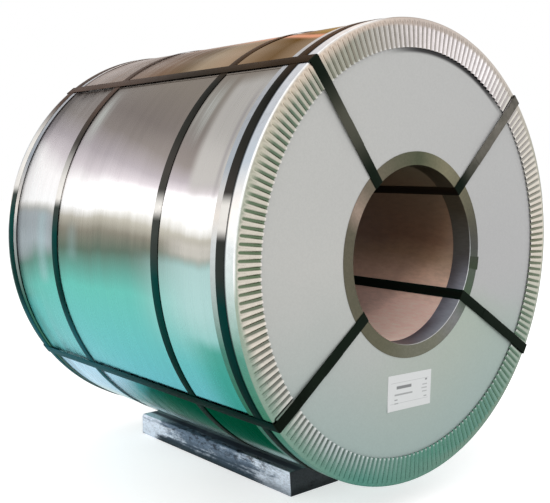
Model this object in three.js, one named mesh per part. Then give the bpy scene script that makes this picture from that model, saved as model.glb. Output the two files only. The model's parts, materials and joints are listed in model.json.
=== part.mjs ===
// Steel coil packed for export, lying with its bore level on two bearers.
//
// Millimetres, +Z up. The coil's axis runs along Y, its labelled end faces -Y, and the
// origin is on the floor below the middle of the coil.

import * as THREE from 'three';

// ---------------------------------------------------------------- driving dimensions

const STRIP_WIDTH = 1219;          // length of the coil along its axis
const COIL_DIAMETER = 1290;
const BORE_DIAMETER = 508;

const SHEET_GAP = 0.3;             // play between one packing layer and the next

const WRAP_THICKNESS = 0.8;        // steel sheet around the coil
const WRAP_SEAM_ANGLE = 130.5;     // free edge of the sheet, degrees from +X towards +Z
const WRAP_LAP = 102;              // how far the sheet's ends lie over each other
const WRAP_JOGGLE = 100;           // stretch over which the upper end climbs onto the lower

const LINER_THICKNESS = 1.6;       // board lining of the bore
const DISC_THICKNESS = 2;          // side disc over each end of the coil

const EDGE_THICKNESS = 0.8;        // sheet of the edge rings
const FRONT_RIM_WIDTH = 94;        // of the outer rings, along the coil's axis
const BACK_RIM_WIDTH = 66;
const OUTER_FACE_WIDTH = 80;       // of the outer ring, across the coil's end
const OUTER_ROUNDING = 5;
const FLUTE_MARGIN = 9;            // from the rounding to the flutes' closed ends
const FLUTE_COUNT = 200;
const FLUTE_DEPTH = 6;             // crest to valley at the flutes' open ends
const FLUTE_START_DEPTH = 4;       // crest to valley at their closed ends
const INNER_SLEEVE_DEPTH = 63;     // of the inner ring, into the bore
const INNER_FACE_WIDTH = 38;       // of the inner ring, across the coil's end
const INNER_ROUNDING = 2.5;

const STRAP_WIDTH = 32;            // steel strapping, girth and eye straps alike
const STRAP_THICKNESS = 0.9;
const STRAP_LAP = 75;              // length where a strap's ends lie over each other
const FRONT_STRAP_INSET = 56;      // girth strap's middle from the outer ring's face
const BACK_STRAP_INSET = 28;
const MIDDLE_STRAP_SPACING = 556;  // between the middles of the two inner girth straps
const GIRTH_LAP_ANGLE = 8;         // where the girth straps' ends meet, degrees
const EYE_STRAP_ANGLES = [128.3, 44.3, -32, 216.8];
const EYE_LAP_RADIUS = 376;        // inner end of an eye strap's lap on the front face

const LABEL_WIDTH = 186;
const LABEL_HEIGHT = 101;
const LABEL_THICKNESS = 0.4;
const LABEL_CORNER = 3;
const LABEL_ACROSS = -17;          // label's middle from the coil's axis, along X
const LABEL_DROP = 43;             // label's top edge below the inner ring
const LABEL_TILT = 2;              // degrees, its +X side down

const BEARER_WIDTH = 200;
const BEARER_HEIGHT = 75;
const BEARER_LENGTH = 810;
const BEARER_GAP = 50;             // between the two bearers
const BEARER_SHIFT = 62;           // bearers' middle behind the coil's middle
const BEARER_CHAMFER = 4;

const RIM_FACETS = 72;             // sides of the round pieces on the coil's outside
const BORE_FACETS = 40;            // and in its bore
const BEND_FACETS = 3;             // of a strap's bend

// ---------------------------------------------------------------- sizes worked out

const rad = THREE.MathUtils.degToRad;

// Radii, from the coil outwards.
const coilRadius = COIL_DIAMETER / 2;
const wrapInner = coilRadius + SHEET_GAP;
const wrapLapInner = wrapInner + WRAP_THICKNESS + SHEET_GAP;
const wrapOuter = wrapLapInner + WRAP_THICKNESS;
const outerRingInner = wrapOuter + SHEET_GAP;
const outerRingOuter = outerRingInner + EDGE_THICKNESS;
const rimStrapInner = outerRingOuter + SHEET_GAP;
const middleStrapInner = wrapOuter + SHEET_GAP;
const eyeStrapReach = rimStrapInner + STRAP_THICKNESS + SHEET_GAP;
const outerFaceInner = outerRingOuter - OUTER_FACE_WIDTH;
const outerCornerRadius = outerRingOuter - OUTER_ROUNDING;
const fluteStart = outerCornerRadius - FLUTE_MARGIN;

// Radii, from the bore's wall inwards.
const boreRadius = BORE_DIAMETER / 2;
const linerOuter = boreRadius * Math.cos(Math.PI / RIM_FACETS) - SHEET_GAP;
const linerInner = linerOuter - LINER_THICKNESS;
const sleeveOuter = linerInner - SHEET_GAP;
const sleeveInner = sleeveOuter - EDGE_THICKNESS;
const innerFaceOuter = sleeveInner + INNER_FACE_WIDTH;
const innerCornerRadius = sleeveInner + INNER_ROUNDING;
const discHole = linerOuter + SHEET_GAP + INNER_ROUNDING;
const sleeveFlat = sleeveInner * Math.cos(Math.PI / BORE_FACETS) - SHEET_GAP;
const eyeStrapInBore = Math.sqrt(sleeveFlat ** 2 - (STRAP_WIDTH / 2) ** 2);

// Levels along the axis, from the coil's middle to either end.
const coilEnd = STRIP_WIDTH / 2;
const discInside = coilEnd + SHEET_GAP;
const discOutside = discInside + DISC_THICKNESS;
const fluteSwing = FLUTE_DEPTH / 2;
const innerRingFace = discOutside + SHEET_GAP + EDGE_THICKNESS;
const innerCornerLevel = innerRingFace - INNER_ROUNDING;
const outerRingFace = innerRingFace + fluteSwing;
const crestLevel = outerRingFace + fluteSwing;
const outerCornerLevel = outerRingFace - OUTER_ROUNDING;

// The coil settles between the inner top edges of the two bearers, on its middle straps.
const bearerEdge = BEARER_GAP / 2 + BEARER_CHAMFER;
const middleStrapOuter = middleStrapInner + STRAP_THICKNESS;
const restingAngle = THREE.MathUtils.radToDeg(Math.asin(bearerEdge / middleStrapOuter)) - 90;
const restingPoint = onFacet(middleStrapOuter, restingAngle, RIM_FACETS);
const axisHeight = BEARER_HEIGHT + SHEET_GAP - restingPoint.y;

// ---------------------------------------------------------------- materials

const finish = (color, roughness, metalness) =>
  new THREE.MeshStandardMaterial({ color, roughness, metalness });

const MATERIALS = {
  strip: finish(0x8f9496, 0.35, 1),
  wrapSheet: finish(0xb9bcbb, 0.18, 1),
  board: finish(0x8a6a5e, 0.6, 0),
  disc: finish(0xb8b8b6, 0.7, 0),
  edgeSheet: finish(0xc4c8c6, 0.28, 1),
  boreEdge: finish(0x8d8f84, 0.35, 1),
  strapping: finish(0x14171b, 0.3, 0.2),
  paper: finish(0xe9ebe9, 0.6, 0),
  bearer: finish(0x5c6169, 0.6, 0.3),
};

// ---------------------------------------------------------------- shared geometry

/** Angles from start to end in degrees: both ends, and every facet's edge in between. */
function facetAngles(start, end, facets) {
  const step = 360 / facets;
  const angles = [start];
  for (let k = Math.floor(start / step) + 1; k * step < end - 1e-6; k += 1) {
    if (k * step > start + 1e-6) angles.push(k * step);
  }
  angles.push(end);
  return angles;
}

/** Point at a radius and an angle in degrees, in the plane across the axis. */
function polar(radius, degrees) {
  return new THREE.Vector2(radius * Math.cos(rad(degrees)), radius * Math.sin(rad(degrees)));
}

/** Point at an angle in degrees on the flat of a round piece whose edges lie at the radius. */
function onFacet(radius, degrees, facets) {
  const step = 360 / facets;
  const fromMiddle = THREE.MathUtils.euclideanModulo(degrees, step) - step / 2;
  return polar(radius * Math.cos(rad(step / 2)) / Math.cos(rad(fromMiddle)), degrees);
}

/** Points of a full circle. */
function circlePoints(radius, facets) {
  return facetAngles(0, 360, facets).slice(0, -1).map((angle) => polar(radius, angle));
}

/** Prism along the coil's axis from y = start to y = end; the outline lies across it. */
function prismAlongAxis(outline, start, end, holes = []) {
  const shape = new THREE.Shape(outline);
  for (const hole of holes) shape.holes.push(new THREE.Path(hole));
  const geometry = new THREE.ExtrudeGeometry(shape, { depth: end - start, bevelEnabled: false });
  return geometry.rotateX(Math.PI / 2).translate(0, end, 0);
}

/** Ring turned about the coil's axis from a closed section of [radius, level] points. */
function turned(section, facets) {
  const points = [...section, section[0]].map(([radius, level]) => new THREE.Vector2(radius, level));
  return new THREE.LatheGeometry(points, facets);
}

/** Outline with its corners rounded: points of { at, bend }, a bend of 0 being sharp. */
function roundedOutline(corners) {
  const outline = [];
  corners.forEach(({ at, bend }, k) => {
    if (bend === 0) {
      outline.push(at);
      return;
    }
    const before = corners[(k + corners.length - 1) % corners.length].at;
    const after = corners[(k + 1) % corners.length].at;
    const enter = at.clone().add(before.clone().sub(at).setLength(bend));
    const leave = at.clone().add(after.clone().sub(at).setLength(bend));
    const curve = new THREE.QuadraticBezierCurve(enter, at, leave);
    outline.push(...curve.getPoints(BEND_FACETS));
  });
  return outline;
}

/** Rectangle centred on the origin, with its corners cut at 45 degrees. */
function cutRectangle(width, height, cut) {
  const x = width / 2;
  const y = height / 2;
  return [
    [x - cut, -y], [x, -y + cut], [x, y - cut], [x - cut, y],
    [-x + cut, y], [-x, y - cut], [-x, -y + cut], [-x + cut, -y],
  ].map(([across, up]) => new THREE.Vector2(across, up));
}

// ---------------------------------------------------------------- the pieces

/** The wound strip, as one solid with its bore. */
function coilBody() {
  return turned([
    [boreRadius, -coilEnd],
    [coilRadius, -coilEnd],
    [coilRadius, coilEnd],
    [boreRadius, coilEnd],
  ], RIM_FACETS);
}

/**
 * The sheet around the coil: once around, then up a joggle onto its own lower end. It
 * reaches to where the outer rings' corners begin.
 */
function outerWrap() {
  const degreesPerMm = 180 / (Math.PI * coilRadius);
  const lowerEnd = WRAP_SEAM_ANGLE - WRAP_LAP * degreesPerMm;
  const climbEnd = lowerEnd + 360 - SHEET_GAP * degreesPerMm;
  const climbStart = climbEnd - WRAP_JOGGLE * degreesPerMm;
  const upperEnd = WRAP_SEAM_ANGLE + 360;
  const lift = wrapLapInner - wrapInner;
  const angles = [
    ...facetAngles(lowerEnd, climbStart, RIM_FACETS),
    ...facetAngles(climbStart, climbEnd, RIM_FACETS).slice(1, -1),
    ...facetAngles(climbEnd, upperEnd, RIM_FACETS),
  ];
  const climbed = (angle) => THREE.MathUtils.clamp((angle - climbStart) / (climbEnd - climbStart), 0, 1);
  const radiusAt = (angle) => wrapInner + lift * climbed(angle);
  const inside = angles.map((angle) => onFacet(radiusAt(angle), angle, RIM_FACETS));
  const outside = angles.map((angle) => onFacet(radiusAt(angle) + WRAP_THICKNESS, angle, RIM_FACETS));
  return prismAlongAxis([...outside, ...inside.reverse()], -outerCornerLevel, outerCornerLevel);
}

/** The lining tube of the bore. It reaches through the discs to the inner rings' corners. */
function boreLiner() {
  return turned([
    [linerInner, -innerCornerLevel],
    [linerOuter, -innerCornerLevel],
    [linerOuter, innerCornerLevel],
    [linerInner, innerCornerLevel],
  ], BORE_FACETS);
}

/** The flat disc that covers one end, at the +Y end. It stops short of both rings' corners. */
function endDisc() {
  const hole = circlePoints(discHole, BORE_FACETS);
  return prismAlongAxis(circlePoints(outerCornerRadius, RIM_FACETS), discInside, discOutside, [hole]);
}

/** The angle ring that guards the bore's edge, at the +Y end. */
function innerEdgeRing() {
  const sleeveEnd = innerRingFace - INNER_SLEEVE_DEPTH;
  return turned([
    [sleeveOuter, sleeveEnd],
    [sleeveOuter, innerCornerLevel],
    [innerCornerRadius, innerRingFace - EDGE_THICKNESS],
    [innerFaceOuter, innerRingFace - EDGE_THICKNESS],
    [innerFaceOuter, innerRingFace],
    [innerCornerRadius, innerRingFace],
    [sleeveInner, innerCornerLevel],
    [sleeveInner, sleeveEnd],
  ], BORE_FACETS);
}

/** Triangles of one band between two rows of columns, as steps of [row, column] corners. */
function bandTriangles(near, far, nearColumns, farColumns) {
  const steps = Math.max(nearColumns, farColumns);
  const triangles = [];
  for (let k = 0; k < steps; k += 1) {
    // Column of either row that belongs to this step, and to the one after it.
    const [near0, near1] = [k, k + 1].map((s) => [near, Math.round((s * nearColumns) / steps) % nearColumns]);
    const [far0, far1] = [k, k + 1].map((s) => [far, Math.round((s * farColumns) / steps) % farColumns]);
    if (near0[1] === near1[1]) {
      triangles.push([far0, near0, far1]);
    } else if (far0[1] === far1[1]) {
      triangles.push([near0, near1, far0]);
    } else if (k % 2 === 0 && nearColumns === farColumns) {
      triangles.push([near0, near1, far0], [far0, near1, far1]);
    } else {
      triangles.push([near0, near1, far1], [near0, far1, far0]);
    }
  }
  return triangles;
}

/**
 * Closed ring of sheet, its two skins cut into the same facets. Each row holds what both
 * skins have there, as [radius, level], and its own number of columns; level is a function
 * of the column.
 */
function sheetRing(rows) {
  const positions = [];
  const starts = { outside: [], inside: [] };
  for (const skin of ['outside', 'inside']) {
    for (const row of rows) {
      const [radius, level] = row[skin];
      starts[skin].push(positions.length / 3);
      for (let k = 0; k < row.columns; k += 1) {
        const turn = (2 * Math.PI * k) / row.columns;
        positions.push(radius * Math.sin(turn), level(k), radius * Math.cos(turn));
      }
    }
  }
  const outside = ([j, k]) => starts.outside[j] + k;
  const inside = ([j, k]) => starts.inside[j] + k;

  const index = [];
  for (let j = 0; j + 1 < rows.length; j += 1) {
    for (const [a, b, c] of bandTriangles(j, j + 1, rows[j].columns, rows[j + 1].columns)) {
      index.push(outside(a), outside(b), outside(c), inside(c), inside(b), inside(a));
    }
  }
  const last = rows.length - 1;
  for (const j of [0, last]) {
    // The sheet's cut edge, between the two skins.
    for (let k = 0; k < rows[j].columns; k += 1) {
      const ends = [[j, (k + 1) % rows[j].columns], [j, k]];
      const [a, b] = j === last ? ends.reverse() : ends;
      index.push(outside(a), outside(b), inside(a), outside(b), inside(b), inside(a));
    }
  }
  const geometry = new THREE.BufferGeometry();
  geometry.setAttribute('position', new THREE.Float32BufferAttribute(positions, 3));
  geometry.setIndex(index);
  geometry.computeVertexNormals();
  return geometry;
}

/**
 * The angle ring that guards the outer edge, at the +Y end, with a rim of the given width.
 * Its face is gathered into flutes that rise just inside the rolled corner and deepen
 * towards the inner edge.
 */
function outerEdgeRing(rimWidth) {
  const flat = (level) => () => level;
  const fluted = (depth) => (level) => (k) => level + (k % 2 === 0 ? depth : -depth) / 2;
  const rimEnd = outerRingFace - rimWidth;
  const underFace = outerRingFace - EDGE_THICKNESS;
  const onRim = (level) => ({
    outside: [outerRingOuter, flat(level)],
    inside: [outerRingInner, flat(level)],
    columns: RIM_FACETS,
  });
  const onFace = (radius, profile, columns) => ({
    outside: [radius, profile(outerRingFace)],
    inside: [radius, profile(underFace)],
    columns,
  });
  return sheetRing([
    onRim(rimEnd),
    onRim(outerCornerLevel),
    onFace(outerCornerRadius, flat, RIM_FACETS),
    onFace(fluteStart, fluted(FLUTE_START_DEPTH), 2 * FLUTE_COUNT),
    onFace(outerFaceInner, fluted(FLUTE_DEPTH), 2 * FLUTE_COUNT),
  ]);
}

/** Strap around the coil with its middle at y = place, its ends lapped. */
function girthStrap(innerRadius, place) {
  const lapHalf = (STRAP_LAP / 2) * (180 / (Math.PI * innerRadius));
  const lapStart = GIRTH_LAP_ANGLE - lapHalf;
  const lapEnd = GIRTH_LAP_ANGLE + lapHalf;
  const outer = innerRadius + STRAP_THICKNESS;
  const arc = (radius, start, end) =>
    facetAngles(start, end, RIM_FACETS).map((angle) => onFacet(radius, angle, RIM_FACETS));
  const outline = [
    ...arc(outer + STRAP_THICKNESS, lapStart, lapEnd),
    ...arc(outer, lapEnd, lapStart + 360),
  ];
  const hole = circlePoints(innerRadius, RIM_FACETS);
  const half = STRAP_WIDTH / 2;
  return prismAlongAxis(outline, place - half, place + half, [hole]);
}

/**
 * Strap through the bore and over both ends, in the X-Y plane: X is the distance from
 * the coil's axis. It bends as the edge rings' corners do, and lies taut from the flutes'
 * crests to the inner ring.
 */
function eyeStrap() {
  const crest = crestLevel + SHEET_GAP;
  const innerRing = innerRingFace + SHEET_GAP;
  const side = (sign, lift) => [
    { at: new THREE.Vector2(eyeStrapReach + lift, sign * (crest + lift)), bend: OUTER_ROUNDING },
    { at: new THREE.Vector2(outerFaceInner, sign * (crest + lift)), bend: 0 },
    { at: new THREE.Vector2(eyeStrapInBore - lift, sign * (innerRing + lift)), bend: INNER_ROUNDING },
  ];
  const loop = (lift) => roundedOutline([...side(1, lift), ...side(-1, lift).reverse()]);

  // The lap is a stretch of double thickness on the run between crests and inner ring.
  const runLevel = (radius) => THREE.MathUtils.mapLinear(
    radius,
    eyeStrapInBore,
    outerFaceInner,
    innerRing + STRAP_THICKNESS,
    crest + STRAP_THICKNESS,
  );
  const lapEnds = [EYE_LAP_RADIUS, EYE_LAP_RADIUS + STRAP_LAP];
  const lapStep = (radius, lift) => new THREE.Vector2(radius, -(runLevel(radius) + lift));
  const outline = loop(STRAP_THICKNESS);
  const crestCorner = outline.findIndex((point) => point.y < 0 && Math.abs(point.x - outerFaceInner) < 1e-6);
  outline.splice(
    crestCorner,
    0,
    lapStep(lapEnds[0], 0),
    lapStep(lapEnds[0], STRAP_THICKNESS),
    lapStep(lapEnds[1], STRAP_THICKNESS),
    lapStep(lapEnds[1], 0),
  );

  const shape = new THREE.Shape(outline);
  shape.holes.push(new THREE.Path(loop(0)));
  const geometry = new THREE.ExtrudeGeometry(shape, { depth: STRAP_WIDTH, bevelEnabled: false });
  return geometry.translate(0, 0, -STRAP_WIDTH / 2);
}

/** The ticket on the front disc. */
function label() {
  const outline = cutRectangle(LABEL_WIDTH, LABEL_HEIGHT, LABEL_CORNER);
  const back = -(discOutside + SHEET_GAP);
  return prismAlongAxis(outline, back - LABEL_THICKNESS, back);
}

/** A bearer, with its long edges chamfered. */
function bearer() {
  const outline = cutRectangle(BEARER_WIDTH, BEARER_HEIGHT, BEARER_CHAMFER);
  return prismAlongAxis(outline, -BEARER_LENGTH / 2, BEARER_LENGTH / 2);
}

// ---------------------------------------------------------------- assembly

/** Mesh with its node's name, added to a parent. */
function place(parent, name, geometry, material) {
  const mesh = new THREE.Mesh(geometry, material);
  mesh.name = name;
  parent.add(mesh);
  return mesh;
}

/** A piece of the +Y end. */
function placeAtBack(parent, name, geometry, material) {
  place(parent, `${name}_back`, geometry, material);
}

/** A piece of the +Y end, turned round to the -Y end. */
function placeAtFront(parent, name, geometry, material) {
  place(parent, `${name}_front`, geometry, material).rotation.z = Math.PI;
}

function placeAtBothEnds(parent, name, geometry, material) {
  placeAtBack(parent, name, geometry, material);
  placeAtFront(parent, name, geometry.clone(), material);
}

const model = new THREE.Group();

const coil = new THREE.Group();
coil.position.z = axisHeight;
model.add(coil);

place(coil, 'coil_body', coilBody(), MATERIALS.strip);
place(coil, 'outer_wrap', outerWrap(), MATERIALS.wrapSheet);
place(coil, 'bore_liner', boreLiner(), MATERIALS.board);
placeAtBothEnds(coil, 'end_disc', endDisc(), MATERIALS.disc);
placeAtBothEnds(coil, 'inner_edge_ring', innerEdgeRing(), MATERIALS.boreEdge);
placeAtBack(coil, 'outer_edge_ring', outerEdgeRing(BACK_RIM_WIDTH), MATERIALS.edgeSheet);
placeAtFront(coil, 'outer_edge_ring', outerEdgeRing(FRONT_RIM_WIDTH), MATERIALS.edgeSheet);

const girthStraps = [
  { radius: rimStrapInner, place: -(outerRingFace - FRONT_STRAP_INSET) },
  { radius: middleStrapInner, place: -MIDDLE_STRAP_SPACING / 2 },
  { radius: middleStrapInner, place: MIDDLE_STRAP_SPACING / 2 },
  { radius: rimStrapInner, place: outerRingFace - BACK_STRAP_INSET },
];
girthStraps.forEach((strap, k) => {
  place(coil, `girth_strap_${k + 1}`, girthStrap(strap.radius, strap.place), MATERIALS.strapping);
});

EYE_STRAP_ANGLES.forEach((angle, k) => {
  place(coil, `eye_strap_${k + 1}`, eyeStrap(), MATERIALS.strapping).rotation.y = -rad(angle);
});

const ticket = place(coil, 'label', label(), MATERIALS.paper);
ticket.position.set(LABEL_ACROSS, 0, -(innerFaceOuter + LABEL_DROP + LABEL_HEIGHT / 2));
ticket.rotation.y = rad(LABEL_TILT);

for (const [name, side] of [['bearer_left', -1], ['bearer_right', 1]]) {
  const block = place(model, name, bearer(), MATERIALS.bearer);
  block.position.set(side * (BEARER_GAP + BEARER_WIDTH) / 2, BEARER_SHIFT, BEARER_HEIGHT / 2);
}

export default model;
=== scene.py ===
"""Steel coil packed for export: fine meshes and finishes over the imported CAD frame.

Metres, +Z up. The coil's axis runs along Y at the height that the frame gives, and its
labelled end faces -Y. Every piece rides on the part's one body.
"""

import json
import logging
import math
from dataclasses import dataclass, field
from enum import Enum
from typing import Iterable, Sequence

import bmesh
import bpy
from mathutils import Matrix, Vector, noise

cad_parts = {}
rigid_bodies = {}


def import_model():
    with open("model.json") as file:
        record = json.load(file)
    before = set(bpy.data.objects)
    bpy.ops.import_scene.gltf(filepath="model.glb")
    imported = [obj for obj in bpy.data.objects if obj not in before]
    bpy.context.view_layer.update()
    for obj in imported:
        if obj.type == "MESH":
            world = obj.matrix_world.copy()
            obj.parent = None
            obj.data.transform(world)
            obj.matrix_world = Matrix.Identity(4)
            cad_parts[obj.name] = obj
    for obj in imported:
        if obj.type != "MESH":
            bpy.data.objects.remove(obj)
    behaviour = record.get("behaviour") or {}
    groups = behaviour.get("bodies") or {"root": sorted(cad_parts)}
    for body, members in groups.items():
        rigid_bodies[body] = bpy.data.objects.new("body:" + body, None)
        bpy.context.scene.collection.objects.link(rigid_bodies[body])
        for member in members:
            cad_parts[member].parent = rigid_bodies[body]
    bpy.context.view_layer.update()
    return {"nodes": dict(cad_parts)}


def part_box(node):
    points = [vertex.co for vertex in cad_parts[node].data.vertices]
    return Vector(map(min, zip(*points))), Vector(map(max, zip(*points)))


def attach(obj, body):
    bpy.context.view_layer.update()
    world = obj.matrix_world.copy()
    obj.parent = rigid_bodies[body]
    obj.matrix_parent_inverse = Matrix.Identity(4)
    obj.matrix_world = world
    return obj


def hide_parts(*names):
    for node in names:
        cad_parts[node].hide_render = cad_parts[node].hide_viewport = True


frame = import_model()

BODY = "root"
MM = 0.001
LOG = logging.getLogger("steel_coil")

Point = tuple[float, float]
Span = tuple[float, float]
Triple = tuple[float, float, float]
Change = tuple[float, ...]  # what fade() takes, or facing()
Stops = tuple[tuple[float, str], ...]
Links = dict[str | int, object]
Socket = bpy.types.NodeSocket

CREASE = 35.0  # degrees past which a piece's edge is shaded sharp
EDGE_SHARE = 0.3  # rounding of a strip's edges, in thicknesses
LAP_LIFT = 1.04  # how far a strap's lapped end lies over its own, in thicknesses
MITRE_LIMIT = 0.2  # cosine past which a shifted line's mitre gets no longer
NOISE_SPAN = (0.3, 0.7)  # values that noise mostly lies between
FLATTEN = (1.0, 0.0, 1.0)  # leaves a place's distance from the coil's axis


# ---------------------------------------------------------------- sizes of the packing


class End(Enum):
    """The two ends of the coil, as the half turns that bring a back piece there."""

    BACK = 0
    FRONT = 1

    @property
    def label(self) -> str:
        """The end's name in lower case, as the frame's nodes have it."""
        return self.name.lower()


@dataclass(frozen=True)
class CoilLayout:
    """Radii and levels that the packing's pieces share, in metres, read from the frame.

    Levels run along the coil's axis, from its middle to the back end.
    """

    axis_height: float
    coil_radius: float
    liner_radius: float
    disc_face: float
    ring_radius: float
    ring_crest: float
    bore_ring_radius: float
    bore_ring_face: float
    bore_ring_end: float
    sheet: float = 0.8 * MM
    play: float = 0.3 * MM
    strap: float = 0.9 * MM
    strap_width: float = 32 * MM
    ring_width: float = 80 * MM

    @classmethod
    def from_frame(cls) -> "CoilLayout":
        """Reads the layout from the CAD nodes' boxes.

        Returns:
            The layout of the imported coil.
        """
        low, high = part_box("coil_body")
        ring_low, ring_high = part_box("outer_edge_ring_back")
        bore_low, bore_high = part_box("inner_edge_ring_back")
        return cls(
            axis_height=(low.z + high.z) / 2,
            coil_radius=(high.z - low.z) / 2,
            liner_radius=span(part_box("bore_liner")).z / 2,
            disc_face=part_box("end_disc_back")[1].y,
            ring_radius=(ring_high.z - ring_low.z) / 2,
            ring_crest=ring_high.y,
            bore_ring_radius=(bore_high.z - bore_low.z) / 2,
            bore_ring_face=bore_high.y,
            bore_ring_end=bore_low.y,
        )

    @property
    def ring_start(self) -> float:
        """Radius at the inner edge of the outer rings' faces."""
        return self.ring_radius - self.ring_width

    @property
    def centre(self) -> Vector:
        """The middle of the coil."""
        return Vector((0.0, 0.0, self.axis_height))


def span(box: tuple[Vector, Vector]) -> Vector:
    """Size of a box along each axis."""
    return box[1] - box[0]


# ---------------------------------------------------------------- outlines


def arc(centre: Point, radius: float, start: float, end: float, steps: int) -> list[Point]:
    """Points of a circular arc.

    Args:
        centre: The arc's centre.
        radius: Its radius.
        start: Angle of its first point, in degrees.
        end: Angle of its last point, in degrees.
        steps: Straight stretches that it is cut into.

    Returns:
        The points, both ends included.
    """
    angles = [math.radians(start + (end - start) * k / steps) for k in range(steps + 1)]
    return [(centre[0] + radius * math.cos(a), centre[1] + radius * math.sin(a)) for a in angles]


def turns(start: float, end: float, step: float) -> list[float]:
    """Evenly spaced angles.

    Args:
        start: The first angle.
        end: The last one.
        step: About how far they are apart.

    Returns:
        The angles, both ends included.
    """
    count = round((end - start) / step)
    return [start + (end - start) * k / count for k in range(count + 1)]


def climbing(angles: Iterable[float], radius: float, rise: float, climb: Span) -> list[Point]:
    """Points around the axis that step out to a greater radius.

    Args:
        angles: The points' angles, in degrees.
        radius: Their radius before the climb.
        rise: How far they climb.
        climb: Angles at which the climb starts and ends.

    Returns:
        The points.
    """
    points = []
    for angle in angles:
        climbed = min(max((angle - climb[0]) / (climb[1] - climb[0]), 0.0), 1.0)
        reach, turn = radius + rise * climbed, math.radians(angle)
        points.append((reach * math.cos(turn), reach * math.sin(turn)))
    return points


def run(start: Point, end: Point, steps: int) -> list[Point]:
    """Points of a straight run, its end left out.

    Args:
        start: First point.
        end: Point that the run leads to.
        steps: Stretches that it is cut into.

    Returns:
        The points from the start on.
    """
    return [
        (start[0] + (end[0] - start[0]) * k / steps, start[1] + (end[1] - start[1]) * k / steps)
        for k in range(steps)
    ]


def shifted(line: Sequence[Point], distance: float) -> list[Point]:
    """A line moved sideways, to its right as it runs.

    Args:
        line: Points of the line.
        distance: How far it moves.

    Returns:
        As many points, mitred where the line bends.
    """
    moved = []
    for k, (x, y) in enumerate(line):
        before = Vector(line[max(k - 1, 0)])
        here = Vector((x, y))
        after = Vector(line[min(k + 1, len(line) - 1)])
        into = (here - before).normalized() if k else (after - here).normalized()
        out = (after - here).normalized() if k + 1 < len(line) else into
        middle = (into + out).normalized()
        reach = distance / max(middle.dot(into), MITRE_LIMIT)
        moved.append((x + middle.y * reach, y - middle.x * reach))
    return moved


def sheet_section(skin: Sequence[Point], thickness: float) -> list[Point]:
    """Closed section of a bent sheet whose visible skin is given, with its metal to the right."""
    return [*skin, *reversed(shifted(skin, thickness))]


def bent(corners: Sequence[tuple[Point, float]], steps: int) -> list[Point]:
    """An open line with its corners bent.

    Args:
        corners: Each corner and the length of straight that its bend takes on either side.
        steps: Stretches of one bend.

    Returns:
        The points of the line.
    """
    line: list[Point] = []
    for k, (at, bend) in enumerate(corners):
        if bend == 0:
            line.append(at)
            continue
        here = Vector(at)
        enter = here + (Vector(corners[k - 1][0]) - here).normalized() * bend
        leave = here + (Vector(corners[k + 1][0]) - here).normalized() * bend
        for step in range(steps + 1):
            t = step / steps
            point = enter * (1 - t) ** 2 + here * 2 * t * (1 - t) + leave * t**2
            line.append((point.x, point.y))
    return line


def polyline(name: str, points: Sequence[Point], closed: bool) -> bpy.types.Mesh:
    """A line of edges in the XY plane, which a geometry tree then sweeps.

    Args:
        name: Name of the mesh.
        points: Points of the line.
        closed: Whether its last point joins its first.

    Returns:
        The mesh, without faces.
    """
    edges = [(k, k + 1) for k in range(len(points) - 1)]
    if closed:
        edges.append((len(points) - 1, 0))
    mesh = bpy.data.meshes.new(name)
    mesh.from_pydata([(x, y, 0.0) for x, y in points], edges, [])
    return mesh


def linked(name: str, data: bpy.types.ID) -> bpy.types.Object:
    """A new object in the scene.

    Args:
        name: Its name.
        data: Its mesh, light or camera.

    Returns:
        The object, at the origin.
    """
    made = bpy.data.objects.new(name, data)
    bpy.context.scene.collection.objects.link(made)
    return made


def meshed(name: str, shape: bmesh.types.BMesh) -> bpy.types.Mesh:
    """Turns a worked shape into a mesh.

    Args:
        name: Name of the mesh.
        shape: The shape, which is freed.

    Returns:
        The mesh.
    """
    mesh = bpy.data.meshes.new(name)
    shape.to_mesh(mesh)
    shape.free()
    return mesh


# ---------------------------------------------------------------- node graphs


def shade(code: str) -> tuple[float, float, float, float]:
    """Linear colour of a six-digit screen colour.

    Args:
        code: The screen colour, as two hexadecimal digits each of red, green and blue.

    Returns:
        Red, green, blue and an alpha of 1.
    """
    channels = [int(code[k : k + 2], 16) / 255 for k in (0, 2, 4)]
    linear = [c / 12.92 if c <= 0.04045 else ((c + 0.055) / 1.055) ** 2.4 for c in channels]
    return (*linear, 1.0)


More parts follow.
